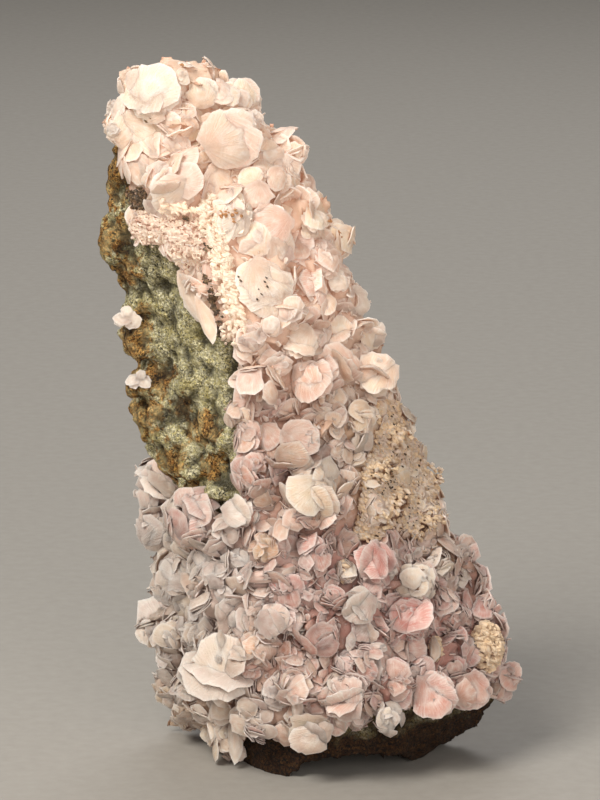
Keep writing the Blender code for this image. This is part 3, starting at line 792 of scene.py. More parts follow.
# Rosettes: (across, up, radius, lean aside, lean up, blush, smoke, honey, petals)
ROSES = [
    (-27.0, 91.2, 1.0, -0.5, 0.0, 0.08, 0.35, 0.0, 5),  # grey lump left
    (-26.9, 87.7, 1.0, -0.5, 0.0, 0.05, 0.35, 0.0, 5),  # grey lump left
    (-26.4, 81.9, 2.2, -0.2, 0.0, 0.2, 0.1, 0.0, 9),  # small round rosette
    (-20.8, 81.4, 2.0, -0.3, 0.1, 0.5, 0.1, 0.05, 7),  # cluster between
    (-17.4, 95.6, 1.7, 0.0, 0.6, 0.1, 0.0, 0.2, 6),  # lump round the pit
    (-16.9, 89.4, 2.2, 0.1, 0.0, 0.6, 0.0, 0.32, 10),  # peach recess blades
    (-14.8, 84.2, 2.2, 0.0, 0.0, 0.6, 0.0, 0.35, 8),  # peach recess blades
    (-8.5, 89.1, 2.0, 0.3, 0.2, 0.2, 0.0, 0.1, 8),  # edge cluster
    (-9.9, 81.4, 2.1, 0.1, 0.0, 0.55, 0.0, 0.3, 8),  # beige cluster
    (-4.3, 80.0, 2.5, 0.3, 0.0, 0.45, 0.0, 0.15, 9),  # pink cluster
    (-0.8, 81.4, 2.2, 0.5, 0.1, 0.35, 0.0, 0.15, 8),  # edge cluster
    (-1.4, 83.0, 2.2, 0.7, -0.1, 0.1, 0.0, 0.15, 8),  # edge cluster
    (1.8, 81.0, 2.2, 0.7, 0.1, 0.1, 0.0, 0.2, 7),  # white chunk edge
    (3.6, 77.6, 2.3, 0.7, 0.1, 0.12, 0.0, 0.25, 8),  # white chunk edge
    (4.4, 72.8, 2.4, 0.7, 0.0, 0.15, 0.0, 0.25, 8),  # stained lump on the edge
    (5.2, 68.6, 2.0, 0.6, 0.0, 0.2, 0.05, 0.1, 7),  # edge cluster
    (-11.0, 75.6, 2.7, 0.0, 0.0, 0.0, 0.0, 0.1, 12),  # coral ring
    (-1.5, 71.6, 2.8, 0.2, 0.0, 0.75, 0.0, 0.1, 10),  # pink mass
    (2.0, 69.9, 2.5, 0.3, 0.0, 0.75, 0.05, 0.1, 9),  # pink mass
    (-0.5, 66.7, 2.7, 0.2, 0.0, 0.85, 0.0, 0.12, 10),  # pink mass
    (1.0, 63.4, 2.5, 0.2, 0.0, 0.7, 0.0, 0.12, 9),  # pink mass
    (-2.9, 62.5, 2.0, 0.1, 0.0, 0.5, 0.0, 0.1, 8),  # pink mass
    (-8.5, 59.0, 2.2, 0.0, -0.2, 0.4, 0.0, 0.05, 8),  # under the slab
    (6.4, 56.9, 2.0, 0.5, 0.0, 0.3, 0.1, 0.1, 8),  # right edge
    (-7.4, 52.5, 3.5, -0.1, 0.0, 0.5, 0.05, 0.2, 11),  # pinkish rosette
    (-9.9, 48.5, 2.0, -0.2, 0.0, 0.45, 0.05, 0.25, 8),  # stacked
    (-2.6, 44.3, 3.6, 0.0, 0.0, 0.55, 0.0, 0.22, 11),  # peach-pink ball
    (3.3, 48.0, 2.4, 0.1, 0.0, 0.55, 0.0, 0.35, 9),  # brown fans
    (3.3, 43.6, 2.4, 0.1, -0.1, 0.6, 0.0, 0.3, 9),  # peach fans
    (-8.2, 41.0, 3.1, -0.1, 0.0, 0.75, 0.0, 0.1, 11),  # pink cluster
    (-6.8, 37.3, 2.2, 0.0, 0.0, 0.7, 0.0, 0.2, 8),  # pink cluster
    (0.5, 37.8, 4.3, 0.0, 0.0, 0.18, 0.0, 0.35, 13),  # cream ball, orange heart
    (4.8, 39.4, 2.0, 0.2, 0.0, 0.45, 0.0, 0.25, 7),  # pink by the ball
    (-15.9, 33.3, 4.1, -0.1, 0.0, 0.5, 0.0, 0.06, 12),  # pink ball rosette
    (-13.8, 37.4, 1.3, 0.0, 0.2, 0.1, 0.4, 0.3, 5),  # greenish lump
    (-6.4, 30.1, 1.7, 0.0, 0.0, 0.9, 0.0, 0.55, 8),  # orange-brown core
    (-10.2, 28.2, 2.0, -0.1, 0.0, 0.2, 0.5, 0.0, 7),  # clear by the core
    (-2.9, 25.4, 2.7, 0.0, 0.0, 0.8, 0.15, 0.0, 11),  # mauve rosette, white rims
    (0.6, 29.6, 2.4, 0.1, 0.0, 0.65, 0.05, 0.0, 9),  # pink rosette
    (2.0, 25.4, 2.1, 0.1, 0.0, 0.75, 0.1, 0.0, 8),  # pink rosette
    (-11.6, 23.3, 2.4, -0.2, 0.0, 0.2, 0.5, 0.0, 8),  # grey-white
    (-9.6, 19.5, 2.0, -0.1, 0.0, 0.3, 0.35, 0.0, 8),  # grey-white
    (-2.0, 18.6, 1.1, 0.0, 0.0, 0.1, 0.15, 0.0, 5),  # white knob
    (-7.1, 16.8, 3.1, -0.1, 0.0, 0.6, 0.05, 0.3, 11),  # orange-pink rosette
    (-20.0, 17.0, 2.1, -0.4, 0.0, 0.12, 0.5, 0.1, 8),  # left lump
    (-16.9, 17.7, 1.8, -0.3, 0.1, 0.12, 0.5, 0.1, 7),  # left lump
    (-21.1, 12.5, 2.0, -0.4, 0.0, 0.12, 0.55, 0.1, 8),  # left lump
    (-17.9, 9.7, 2.0, -0.3, 0.0, 0.15, 0.5, 0.15, 8),  # left lump
    (-8.5, 13.0, 2.0, 0.0, 0.0, 0.8, 0.1, 0.1, 8),  # red-pink lamellae
    (-2.6, 14.9, 2.5, 0.0, 0.0, 0.85, 0.1, 0.15, 10),  # red-pink lamellae
    (0.2, 11.1, 2.4, 0.0, 0.0, 0.75, 0.05, 0.2, 9),  # red-pink lamellae
    (-4.6, 10.0, 2.0, -0.1, 0.0, 0.4, 0.4, 0.0, 8),  # smoky rosette
    (-7.4, 5.1, 2.2, -0.2, -0.1, 0.3, 0.35, 0.1, 8),  # foot
    (-17.6, 5.1, 2.1, -0.4, -0.1, 0.1, 0.35, 0.4, 8),  # foot left, beige
    (-14.4, 1.8, 2.0, -0.3, -0.2, 0.08, 0.25, 0.5, 8),  # foot left, beige
    (-11.3, 0.4, 2.0, -0.1, -0.2, 0.02, 0.1, 0.4, 7),  # foot, cream lumps
    (-7.6, 0.9, 1.4, 0.0, -0.2, 0.05, 0.1, 0.25, 6),  # foot, cream lumps
    (-3.6, 1.8, 1.4, 0.0, -0.2, 0.1, 0.1, 0.3, 6),  # foot, cream lumps
    (14.6, 24.9, 2.5, 0.0, 0.1, 0.06, 0.0, 0.28, 12),  # cream rosette
    (17.8, 27.5, 2.2, 0.2, 0.2, 0.04, 0.0, 0.2, 10),  # white cluster
    (20.2, 25.4, 1.7, 0.3, 0.0, 0.06, 0.0, 0.22, 8),  # white cluster
    (10.4, 26.8, 1.1, 0.0, 0.0, 0.02, 0.1, 0.0, 6),  # white knob
    (4.8, 26.8, 1.5, 0.0, 0.0, 0.1, 0.1, 0.2, 6),  # pale knob
    (18.4, 21.7, 2.4, 0.1, 0.0, 0.65, 0.05, 0.0, 9),  # pink rosette
    (11.4, 17.0, 1.4, 0.0, 0.0, 0.6, 0.1, 0.0, 7),  # under the disc
    (15.0, 13.2, 2.1, 0.0, -0.3, 0.6, 0.2, 0.0, 9),  # stack of thin rims
    (19.8, 17.0, 1.8, 0.1, 0.0, 0.75, 0.25, 0.0, 8),  # dark pink
    (20.2, 13.5, 2.1, 0.1, 0.0, 0.7, 0.2, 0.0, 8),  # dark pink
    (9.0, 13.0, 2.1, 0.0, 0.0, 0.6, 0.3, 0.0, 8),  # dark purple
    (8.3, 9.3, 2.1, 0.0, 0.0, 0.7, 0.15, 0.05, 9),  # foot pink
    (4.8, 14.2, 1.7, 0.0, 0.0, 0.55, 0.35, 0.0, 7),  # dark gap
    (12.5, 10.0, 2.2, 0.0, 0.0, 0.65, 0.1, 0.05, 9),  # foot pink
    (10.8, 6.3, 2.0, 0.0, 0.0, 0.02, 0.15, 0.0, 11),  # white frosted patch
    (5.5, 4.6, 1.7, 0.0, -0.2, 0.45, 0.0, 0.1, 8),  # foot pink
    (25.1, 10.0, 2.0, 0.3, -0.1, 0.6, 0.1, 0.1, 8),  # foot pink right
    (3.4, 9.7, 2.5, -0.1, 0.0, 0.35, 0.0, 0.15, 9),  # cream-pink rosette
]

# Laths: (across, up, length, width, turn from upright in degrees, lean up, blush, smoke, honey)
BLADES = [
    (-17.4, 80.2, 5.6, 1.8, 175, 0.0, 0.35, 0.0, 0.05),  # long blade
    (-16.0, 80.5, 6.2, 1.7, 178, 0.0, 0.3, 0.0, 0.1),  # long blade
    (-22.5, 82.1, 3.6, 1.5, 150, 0.0, 0.2, 0.1, 0.0),  # slanting blade
    (-9.7, 93.7, 3.6, 2.5, 130, 0.0, 0.6, 0.05, 0.05),  # pink blade on the edge
    (-8.5, 91.7, 3.1, 2.0, 110, 0.0, 0.55, 0.1, 0.1),  # pink blade on the edge
    (-6.7, 91.0, 1.7, 1.4, 80, 0.0, 0.3, 0.4, 0.1),  # round tip
    (-6.5, 26.3, 7.6, 2.0, 262, 0.1, 0.22, 0.0, 0.05),  # white-pink blade across
    (22.3, 20.9, 6.2, 1.7, 172, 0.0, 0.65, 0.1, 0.05),  # upright pink blade
    (23.6, 21.7, 5.6, 1.4, 176, 0.0, 0.7, 0.1, 0.05),  # upright pink blade
    (24.7, 23.7, 3.1, 1.7, 170, 0.0, 0.45, 0.15, 0.1),  # small blade
    (17.7, 15.8, 3.6, 1.7, 180, 0.0, 0.05, 0.1, 0.35),  # yellowish blade
    (-13.5, 3.7, 8.4, 2.0, 185, 0.0, 0.1, 0.55, 0.1),  # hanging blade
    (-10.4, 3.0, 7.0, 2.2, 178, 0.0, 0.15, 0.5, 0.05),  # hanging blade
    (-12.5, 15.8, 4.8, 2.0, 182, 0.2, 0.05, 0.45, 0.15),  # upright lump in the scoop
    (-1.6, 7.7, 5.0, 1.7, 176, 0.0, 0.3, 0.4, 0.25),  # drip
    (-1.1, 3.7, 4.2, 1.7, 90, 0.0, 0.2, 0.3, 0.3),  # edge
    (8.3, 16.3, 3.1, 1.3, 80, 0.0, 0.1, 0.1, 0.05),  # white sliver
    (8.3, 24.0, 2.0, 1.1, 80, 0.0, 0.1, 0.1, 0.05),  # white sliver
    (5.5, 17.0, 2.5, 1.4, 190, 0.0, 0.1, 0.3, 0.0),  # white sliver
    (-13.6, 67.9, 6.2, 2.2, 176, 0.0, 0.8, 0.0, 0.05),  # thin pink flap
]

# The tongue that hangs down the rock: (across, up, length, width, turn from upright, blush, smoke, honey)
TONGUE = [
    (-17.3, 66.9, 6.5, 3.6, 150, 0.08, 0.4, 0.1),
    (-15.8, 64.6, 8.0, 3.4, 152, 0.06, 0.25, 0.15),
    (-14.2, 61.4, 6.5, 2.2, 158, 0.2, 0.05, 0.35),
    (-16.0, 62.6, 2.4, 1.8, 170, 0.0, 0.1, 0.05),
]

# %% Growing the named crystals
petals_of = {name: Growth() for name in ("crown", "shoulder", "waist", "hem", "foot")}
taken = []


def growth_at(point):
    up = in_view(point)[1]
    return petals_of["crown" if up > 74 else "shoulder" if up > 50 else "waist" if up > 30 else "hem" if up > 16.5
                     else "foot"]


def leaning(normal, side, up, frontal=0.8):
    """Between the surface's own direction and the viewer, leant sideways and upwards."""
    return (normal * 0.5 - VIEW_AWAY * frontal + VIEW_ACROSS * side + VIEW_UP * up).normalized()


def layered_plate(growth, place, facing, radius, tone, apart):
    """One broad smooth plate, with the rims of the layers under it showing round its edge."""
    shown = 0
    for layer, height in enumerate((1.25, 0.95, 0.6)):
        face = jitter(facing, apart * (layer + 0.5))
        outward = turned(face.orthogonal().normalized(), chance.uniform(0.0, math.tau), face)
        size = radius * chance.uniform(0.9, 1.1)
        before = len(growth.points)
        growth.blade(chance.choice(BROAD), place + facing * height * MM - outward * size, outward, face,
                     2.0 * size, 2.0 * size * chance.uniform(0.85, 1.0), tone, -0.25, -0.06, free=True)
        shown += len(growth.points) - before
    return shown


for across, up, radius, side, rise, *tone in PLATES:
    place, normal = seen_at(bed_tree, across, up)
    facing = leaning(normal, side, rise)
    growth = growth_at(place)
    if layered_plate(growth, place, facing, radius * MM, tone, 0.1 if up > 60 else 0.3) < 2:
        print("few layers at", across, up)
    ball(growth, place - facing * 1.15 * radius * MM, facing, radius * MM, 8, tone)
    taken.append((place, (0.8 * radius + 0.8) * MM))
for across, up, radius, side, rise, *tone, petals in ROSES:
    place, normal = seen_at(bed_tree, across, up)
    axis = leaning(normal, side, rise, 0.5)
    large = petals > 10
    ball(growth_at(place), place - axis * (1.2 * radius - (2.2 if large else 1.5)) * MM, axis, 1.2 * radius * MM,
         petals + 2, tone, looseness=0.35 if large else 1.0)
    taken.append((place, 0.75 * radius * MM))
for across, up, length, width, turn, rise, *tone in BLADES:
    place, normal = seen_at(bed_tree, across, up)
    along = VIEW_UP * math.cos(math.radians(turn)) + VIEW_ACROSS * math.sin(math.radians(turn))
    facing = leaning(normal, 0.0, rise)
    root = place - along * 0.5 * length * MM + facing * 1.3 * MM
    growth_at(place).blade(chance.choice(LONG), root, along, facing, length * MM, width * MM, tone, -0.3, -0.1)
for across, up, length, width, turn, *tone in TONGUE:
    place = min((seen_at(tree, across, up)[0] for tree in (bed_tree, rock_tree)), key=lambda hit: hit.dot(VIEW_AWAY))
    along = VIEW_UP * math.cos(math.radians(turn)) + VIEW_ACROSS * math.sin(math.radians(turn))
    growth_at(place).blade(chance.choice(LONG), place - along * 0.5 * length * MM - VIEW_AWAY * 0.7 * MM, along,
                           -VIEW_AWAY - VIEW_ACROSS * 0.2, length * MM, width * MM, tone, -0.25, 0.0, free=True)
print("named crystals:", len(PLATES), "plates,", len(ROSES), "rosettes,", len(BLADES), "laths")

# %% [markdown]
# ## The rest of the crust
# Between the named crystals the crust is a crowd of smaller rosettes, fans and chips. They are
# scattered over the whole bed, round the sides and the crown too, each one clear of those before it.

# %% Open faces of the bed
OPEN_GAP = 0.9 * MM
centres, normals, areas = [], [], []
for polygon in bed.data.polygons:
    nearest = rock_tree.find_nearest(polygon.center)[0]
    apart = polygon.center - nearest
    if apart.length > OPEN_GAP and polygon.normal.dot(apart) > 0.25 * apart.length and polygon.center.z > 1.5 * MM:
        centres.append(polygon.center[:])
        normals.append(polygon.normal[:])
        areas.append(polygon.area)
centres, normals = np.array(centres), np.array(normals)
reach_of_areas = np.cumsum(areas) / sum(areas)
print(f"open bed: {sum(areas) / MM ** 2:.0f} square mm")


def scattered(spacing, tries, before=()):
    """Seeded places on the open bed, each clear of the others by the spacing."""
    found = [(np.array(place), clear) for place, clear in before]
    places = np.array([place for place, _ in found]).reshape(-1, 3)
    clears = np.array([clear for _, clear in found])
    chosen = []
    for _ in range(tries):
        index = int(np.searchsorted(reach_of_areas, chance.random()))
        centre = centres[index]
        if len(places) and (np.linalg.norm(places - centre, axis=1) < np.maximum(clears, spacing)).any():
            continue
        places = np.vstack([places, centre])
        clears = np.append(clears, spacing)
        chosen.append((Vector(centre), Vector(normals[index])))
    return chosen


# %% [markdown]
# ## Crests, grains and seams
# Not all of the crust is blades. A white crest of small lumps crosses the slab, a ring of white
# spikes stands at its top, a tan sugary patch lies at the right edge, and lumps like popcorn sit low
# on the right. These are grown from grains instead of blades, each kind along its own line or patch.

# %% Grains of calcite and of rock
grain_growth, dark_growth, frost_growth = Growth(), Growth(), Growth()


def grains_at(growth, across, up, spread, count, size, tone, lift=0.4):
    """A patch of grains that lie on the bed round a place in the view."""
    for _ in range(count):
        angle, away = chance.uniform(0.0, math.tau), spread * math.sqrt(chance.random())
        place, normal = seen_at(bed_tree, across + away * math.cos(angle), up + away * math.sin(angle))
        length = chance.uniform(0.7, 1.3) * size * MM
        outward = jitter(normal, 0.4)
        growth.blade(chance.choice(GRAINS), place + normal * (lift * MM - 0.3 * length), outward,
                     jitter(outward.orthogonal(), 0.5), length, length, tone, free=True)


def along(route, spacing):
    """Places every so often along a line in the view."""
    for first, second in zip(route, route[1:]):
        steps = max(1, round(math.dist(first, second) / spacing))
        for k in range(steps):
            yield tuple(a + (b - a) * k / steps for a, b in zip(first, second))


CREST = [(-13.8, 77.4), (-13.4, 74.5), (-12.6, 71.0), (-11.4, 66.9), (-10.2, 63.4), (-9.8, 59.0)]
for across, up in along(CREST, 0.7):
    for lift in (0.5, 0.9, 1.3):
        grains_at(grain_growth, across, up, 1.2, 8, 0.8, (0.02, 0.0, 0.06), lift)
    grains_at(grain_growth, across, up, 1.0, 8, 0.45, (0.0, 0.0, 0.0), 1.6)
    taken.append((seen_at(bed_tree, across, up)[0], 1.3 * MM))

# Painted shade: dark grains line the crevice and fill the holes, where the crust lies in shade.
CREVICE = [(-14.0, 68.0), (-13.5, 65.8), (-12.4, 62.4), (-11.2, 58.5)]
for across, up in along(CREVICE, 0.3):
    grains_at(dark_growth, across, up, 0.42, 16, 0.36, (0.0, 0.0, 0.3), 1.15)
    taken.append((seen_at(bed_tree, across, up)[0], 0.9 * MM))
HOLES = [(-13.8, 71.4, 0.6), (-17.0, 75.6, 0.35), (10.4, 39.4, 0.9)]
for across, up, spread in HOLES:
    grains_at(dark_growth, across, up, spread, 30, 0.34, (0.0, 0.0, 0.3), 1.0)
    taken.append((seen_at(bed_tree, across, up)[0], 1.2 * spread * MM))
BARE_PLACE, BARE_SPREAD = (-23.6, 78.4), 1.6
grains_at(dark_growth, *BARE_PLACE, BARE_SPREAD, 170, 0.5, (0.0, 0.0, 0.4), 0.7)
taken.append((seen_at(bed_tree, *BARE_PLACE)[0], 2.6 * MM))

LIP = [(-20.4, 78.3), (-18.6, 77.2), (-16.9, 76.8), (-14.8, 77.0)]
for across, up in along(LIP, 0.5):
    grains_at(grain_growth, across, up, 0.5, 5, 0.8, (0.05, 0.0, 0.2), 1.3)

RING_PLACE, RING_RADIUS = (-11.0, 75.8), 1.9
ring_middle, _ = seen_at(bed_tree, *RING_PLACE)
ring_middle = ring_middle - VIEW_AWAY * 0.6 * MM
taken.append((ring_middle, 2.6 * MM))
for k in range(26):
    radial = VIEW_ACROSS * math.cos(k * math.tau / 26) + VIEW_UP * math.sin(k * math.tau / 26)
    outward = jitter(radial - VIEW_AWAY * chance.uniform(0.1, 1.2), 0.15)
    length = chance.uniform(1.0, 1.9) * MM
    frost_growth.blade(chance.choice(CHIPS), ring_middle + radial * RING_RADIUS * chance.uniform(0.55, 0.95) * MM,
                       outward, jitter(-VIEW_AWAY, 0.5), length, 0.7 * length, (0.0, 0.0, 0.08), free=True)

# Patches of tan sugar: (across, up, radius)
SUGAR = [(10.4, 48.5, 2.0), (11.4, 45.0, 2.8), (10.4, 40.8, 3.6), (12.5, 36.6, 3.9), (15.3, 33.8, 2.8),
         (9.0, 36.6, 2.5), (7.6, 32.4, 2.0), (16.0, 39.4, 2.0), (13.9, 42.2, 2.0)]
for across, up, radius in SUGAR:
    grains_at(grain_growth, across, up, radius, int(58 * radius ** 2), 0.7, (0.0, 0.0, 0.9), 0.75)
    grains_at(grain_growth, across, up, radius, int(14 * radius ** 2), 0.6, (0.0, 0.0, 0.2), 1.05)
    grains_at(dark_growth, across, up, radius, int(1.5 * radius ** 2), 0.35, (0.0, 0.0, 0.4), 1.2)
    taken.append((seen_at(bed_tree, across, up)[0], radius * MM))

# Lumps like popcorn: (across, up, half width, half height)
POPCORN = [(24.8, 15.8, 2.3, 3.6), (4.8, 26.8, 0.9, 1.5), (17.6, 15.8, 0.8, 1.7)]
for across, up, half_width, half_height in POPCORN:
    middle, normal = seen_at(bed_tree, across, up)
    middle = middle + normal * 0.2 * half_width * MM
    for _ in range(int(75 * half_width * half_height)):
        direction = Vector([chance.gauss(0.0, 1.0) for _ in range(3)]).normalized()
        spot = Vector((direction.x * half_width, direction.y * half_width, direction.z * half_height)) * MM
        spot = middle + spot * chance.uniform(0.7, 1.0)
        length = chance.uniform(0.5, 1.2) * MM
        grain_growth.blade(chance.choice(GRAINS), spot - direction * 0.5 * length, direction,
                           jitter(direction.orthogonal(), 0.8), length, length, (0.0, 0.0, 0.8), free=True)
    taken.append((middle, half_width * MM))

# Frosted druse of small upright chips: (across, up, radius)
DRUSE = [(-23.6, 74.8, 2.0), (-22.3, 72.9, 2.2), (-20.0, 74.3, 2.2), (-19.2, 71.4, 2.4), (-16.8, 73.2, 2.4),
         (-17.0, 69.6, 2.0), (-15.3, 70.0, 1.5)]
for across, up, radius in DRUSE:
    grains_at(frost_growth, across, up, radius, int(26 * radius ** 2), 0.5, (0.35, 0.2, 0.0), 0.25)
    grains_at(frost_growth, across, up, radius, int(9 * radius ** 2), 0.35, (0.0, 0.0, 0.0), 0.5)
    for _ in range(int(4 * radius ** 2)):
        angle, away = chance.uniform(0.0, math.tau), radius * math.sqrt(chance.random())
        place, normal = seen_at(bed_tree, across + away * math.cos(angle), up + away * math.sin(angle))
        outward = jitter(normal, 0.5)
        length = chance.uniform(0.6, 1.1) * MM
        frost_growth.blade(chance.choice(CHIPS), place, outward, jitter(outward.orthogonal(), 0.6),
                           length, 0.9 * length, (0.2, 0.1, 0.0))
    taken.append((seen_at(bed_tree, across, up)[0], 0.8 * radius * MM))
print("grains:", len(grain_growth.points), "calcite,", len(dark_growth.points), "dark,", len(frost_growth.points), "white")

# %% Rosettes and books between
for growth in petals_of.values():
    growth.stands_out = OTHERS_STAND_OUT
CROWN_GROWTH = 1.3
CHIPS_END = 74.0
rosette_places = scattered(2.9 * MM, 9000, taken)
for place, normal in rosette_places:
    tone = character(*in_view(place))
    axis = jitter(normal, 0.2)
    radius = chance.uniform(2.0, 3.2) * MM * (1.0 + 0.25 * tone[1])
    if CHIPS_END < in_view(place)[1] < CROWN_TOP - 5.0:
        radius *= CROWN_GROWTH
    growth = growth_at(place)
    kind = chance.random()
    if kind < 0.86:
        ball(growth, place - axis * (radius - 1.15 * MM), axis, radius, chance.randint(7, 9), tone)
    elif kind < 0.91:
        spray(growth, place - axis * 0.3 * radius, axis, 0.7 * radius, chance.randint(3, 5), tone)
    else:
        book(growth, place + axis * 0.4 * MM, jitter(axis, 0.45), axis.orthogonal(), 0.8 * radius, 3, tone)
print(len(rosette_places), "balls, sprays and books between the named ones")

# %% Chips that fill the gaps
chips = Growth()
chips.stands_out = OTHERS_STAND_OUT
chip_places = scattered(1.5 * MM, 9000)
for place, normal in chip_places:
    across, up = in_view(place)
    tone = character(across, up)
    if chance.random() < (0.75 if up > CHIPS_END else tone[1]):
        continue
    for _ in range(2):
        outward = jitter(normal, 0.55)
        face = jitter(outward.orthogonal(), 0.6)
        length = chance.uniform(0.7, 1.3) * MM
        chips.blade(chance.choice(CHIPS), place - normal * 0.15 * MM, outward, face, length, length, tone,
                    chance.uniform(-0.2, 0.3), chance.uniform(-0.2, 0.2))
print(len(chip_places), "tufts of chips")

# %% [markdown]
# ## Calcite
# Calcite lets light in and scatters it, so the blades glow and their rims are pale. Here the glow is
# part subsurface scattering and part painted glow, a faint emission, and the pale rims are part real
# and part painted highlight. The colour sits in patches, and painted shade darkens it towards the
# roots, where many blades lie over each other, and in the gaps between crystals. Glass would be too
# clear for it. Subsurface scattering, with a frosted relief, is nearer, and the tone comes from the
# values that each blade carries.

# %% Calcite's colour as a node group
calcite_group, given, out = new_group(
    "calcite tone",
    [("Cream", "Color", colour(237, 217, 195)), ("Lower Cream", "Color", colour(238, 218, 200)),
     ("Blush", "Color", colour(218, 164, 144)), ("Lower Blush", "Color", colour(214, 116, 100)),
     # The Honey, Upper, Lower and Smoky shade colours are painted shade for the roots of the blades and the gaps
     # between crystals.
     ("Honey Shade", "Color", colour(176, 118, 66)), ("Smoke", "Color", colour(190, 182, 174)),
     ("Honey", "Color", colour(255, 212, 140)), ("Rim", "Color", colour(255, 247, 238)),
     ("Upper Shade", "Color", colour(212, 158, 132)), ("Lower Shade", "Color", colour(44, 18, 20)),
     ("Smoky Shade", "Color", colour(136, 118, 108)),
     ("Upper Glow", "Color", colour(255, 224, 200)), ("Lower Glow", "Color", colour(116, 78, 68))],
    [("Colour", "Color"), ("Roughness", "Float"), ("Frost", "Float"), ("Glow", "Color")])
tree = calcite_group
patch = clouds(tree, 1.6 * MM, 4.0)
shift = ranged(tree, patch, 0.3, 0.7, -0.18, 0.18)
height = node(tree, "SeparateXYZ", {"Vector": here(tree)}).outputs["Z"]
# Higher up, from 46 to 68 mm, the blush turns paler, and the painted shade and painted glow turn lighter.
upper = ranged(tree, height, 46 * MM, 68 * MM)
blush = mixed(tree, upper, given["Lower Blush"], given["Blush"])
cream = mixed(tree, upper, given["Lower Cream"], given["Cream"])
tone = mixed(tree, summed(tree, "ADD", stored(tree, "blush"), shift), cream, blush)
tone = mixed(tree, summed(tree, "MULTIPLY", stored(tree, "smoke"), 0.9), tone, given["Smoke"])
tone = mixed(tree, summed(tree, "MULTIPLY", stored(tree, "honey"), 0.8), tone, given["Honey"])
# The rims turn towards white: partly the paler edge of thin calcite, partly a painted highlight.
edge = node(tree, "Math", operation="POWER", use_clamp=True)
feed(tree, edge.inputs[0], stored(tree, "rim"))
edge.inputs[1].default_value = 1.4
tone = mixed(tree, summed(tree, "MULTIPLY", edge.outputs[0], 0.6), tone, given["Rim"])
angle = node(tree, "Math", {0: stored(tree, "across"), 1: stored(tree, "reach")}, operation="ARCTAN2").outputs[0]
fan = node(tree, "Math", {0: angle, 1: 9.0}, operation="MULTIPLY").outputs[0]
blade_place = node(tree, "CombineXYZ", {"X": fan, "Y": stored(tree, "reach"), "Z": stored(tree, "tint")}).outputs[0]
streak = node(tree, "TexNoise", {"Vector": blade_place, "Scale": 2.5, "Detail": 3.0}).outputs["Fac"]
clear = summed(tree, "SUBTRACT", 1.0, stored(tree, "smoke"))
streaks = summed(tree, "MULTIPLY", ranged(tree, streak, 0.48, 0.68, 0.0, 0.42), clear)
tone = mixed(tree, streaks, tone, given["Rim"])
fleck = clouds(tree, 0.7 * MM, 4.0, 0.6)
tone = mixed(tree, ranged(tree, fleck, 0.56, 0.7, 0.0, 0.4), tone, given["Rim"])
# Painted shade: at the roots of the blades and in the gaps between crystals, where shade falls, the tone turns to a
# shade colour, light and warm high up and near black low down.
deep = mixed(tree, upper, given["Lower Shade"], given["Upper Shade"])
deep = mixed(tree, summed(tree, "MULTIPLY", stored(tree, "smoke"), 1.5), deep, given["Smoky Shade"])
deep = mixed(tree, summed(tree, "MULTIPLY", stored(tree, "honey"), 1.5), deep, given["Honey Shade"])
root = summed(tree, "MULTIPLY", ranged(tree, stored(tree, "reach"), 0.0, 0.7, 1.0, 0.0), 0.3)
gap_limit = summed(tree, "SUBTRACT", 0.62, summed(tree, "MULTIPLY", upper, 0.14))
painted_gap_shade = summed(tree, "POWER", ranged(tree, stored(tree, "open"), 0.0, gap_limit, 1.0, 0.0), 1.25)
tone = mixed(tree, summed(tree, "MAXIMUM", root, summed(tree, "MULTIPLY", painted_gap_shade, 0.95)), tone, deep)
darkest = summed(tree, "ADD", summed(tree, "MULTIPLY", upper, 0.12), 0.72)
brightness = mixed_value(tree, stored(tree, "tint"), darkest, 1.0)
brightness_colour = node(tree, "CombineColor", {"Red": brightness, "Green": brightness, "Blue": brightness})
tone = mixed(tree, 1.0, tone, brightness_colour.outputs[0], "MULTIPLY")
feed(tree, out["Colour"], tone)
# Painted glow: an emission in a warm tint of the tone stands in for light scattered inside the calcite and lifts its
# shade, brighter high up than low down.
painted_glow_tint = mixed(tree, upper, given["Lower Glow"], given["Upper Glow"])
feed(tree, out["Glow"], mixed(tree, 1.0, tone, painted_glow_tint, "MULTIPLY"))
fine = clouds(tree, 0.22 * MM, 6.0, 0.75)
feed(tree, out["Roughness"], ranged(tree, fine, 0.35, 0.65, 0.22, 0.55))
frost = summed(tree, "ADD", summed(tree, "MULTIPLY", fine, 0.5), summed(tree, "MULTIPLY", streak, 0.45))
frost = summed(tree, "MULTIPLY", frost, summed(tree, "SUBTRACT", 1.0, summed(tree, "MULTIPLY", upper, 0.25)))
feed(tree, out["Frost"], frost)
print("group:", calcite_group.name)


# %% Calcite finishes
def calcite(name, feeds, **plain):
    material, tree, shader = new_material(name, IOR=1.6, **plain)
    tones = use_group(tree, calcite_group, feeds)
    feed(tree, shader.inputs["Base Color"], tones["Colour"])
    feed(tree, shader.inputs["Roughness"], tones["Roughness"])
    relief(tree, shader, tones["Frost"], 0.45 * MM)
    feed(tree, shader.inputs["Emission Color"], tones["Glow"])
    return material


# Emission Strength sets the painted glow; the white grains get the most, to lighten the shade between them.
pink_calcite = calcite("pink_calcite", {}, Subsurface_Weight=0.4, Subsurface_Scale=0.8 * MM,
                       Subsurface_Radius=(1.0, 0.8, 0.7), Emission_Strength=0.14)
white_calcite = calcite("white_calcite", {
    "Cream": colour(255, 240, 216), "Lower Cream": colour(255, 238, 214), "Honey": colour(255, 214, 142),
    "Upper Shade": colour(236, 196, 168), "Lower Shade": colour(150, 112, 86),
    "Honey Shade": colour(206, 156, 98)}, Emission_Strength=0.26)
bed_calcite = calcite("bed_calcite", {}, Emission_Strength=0.14)

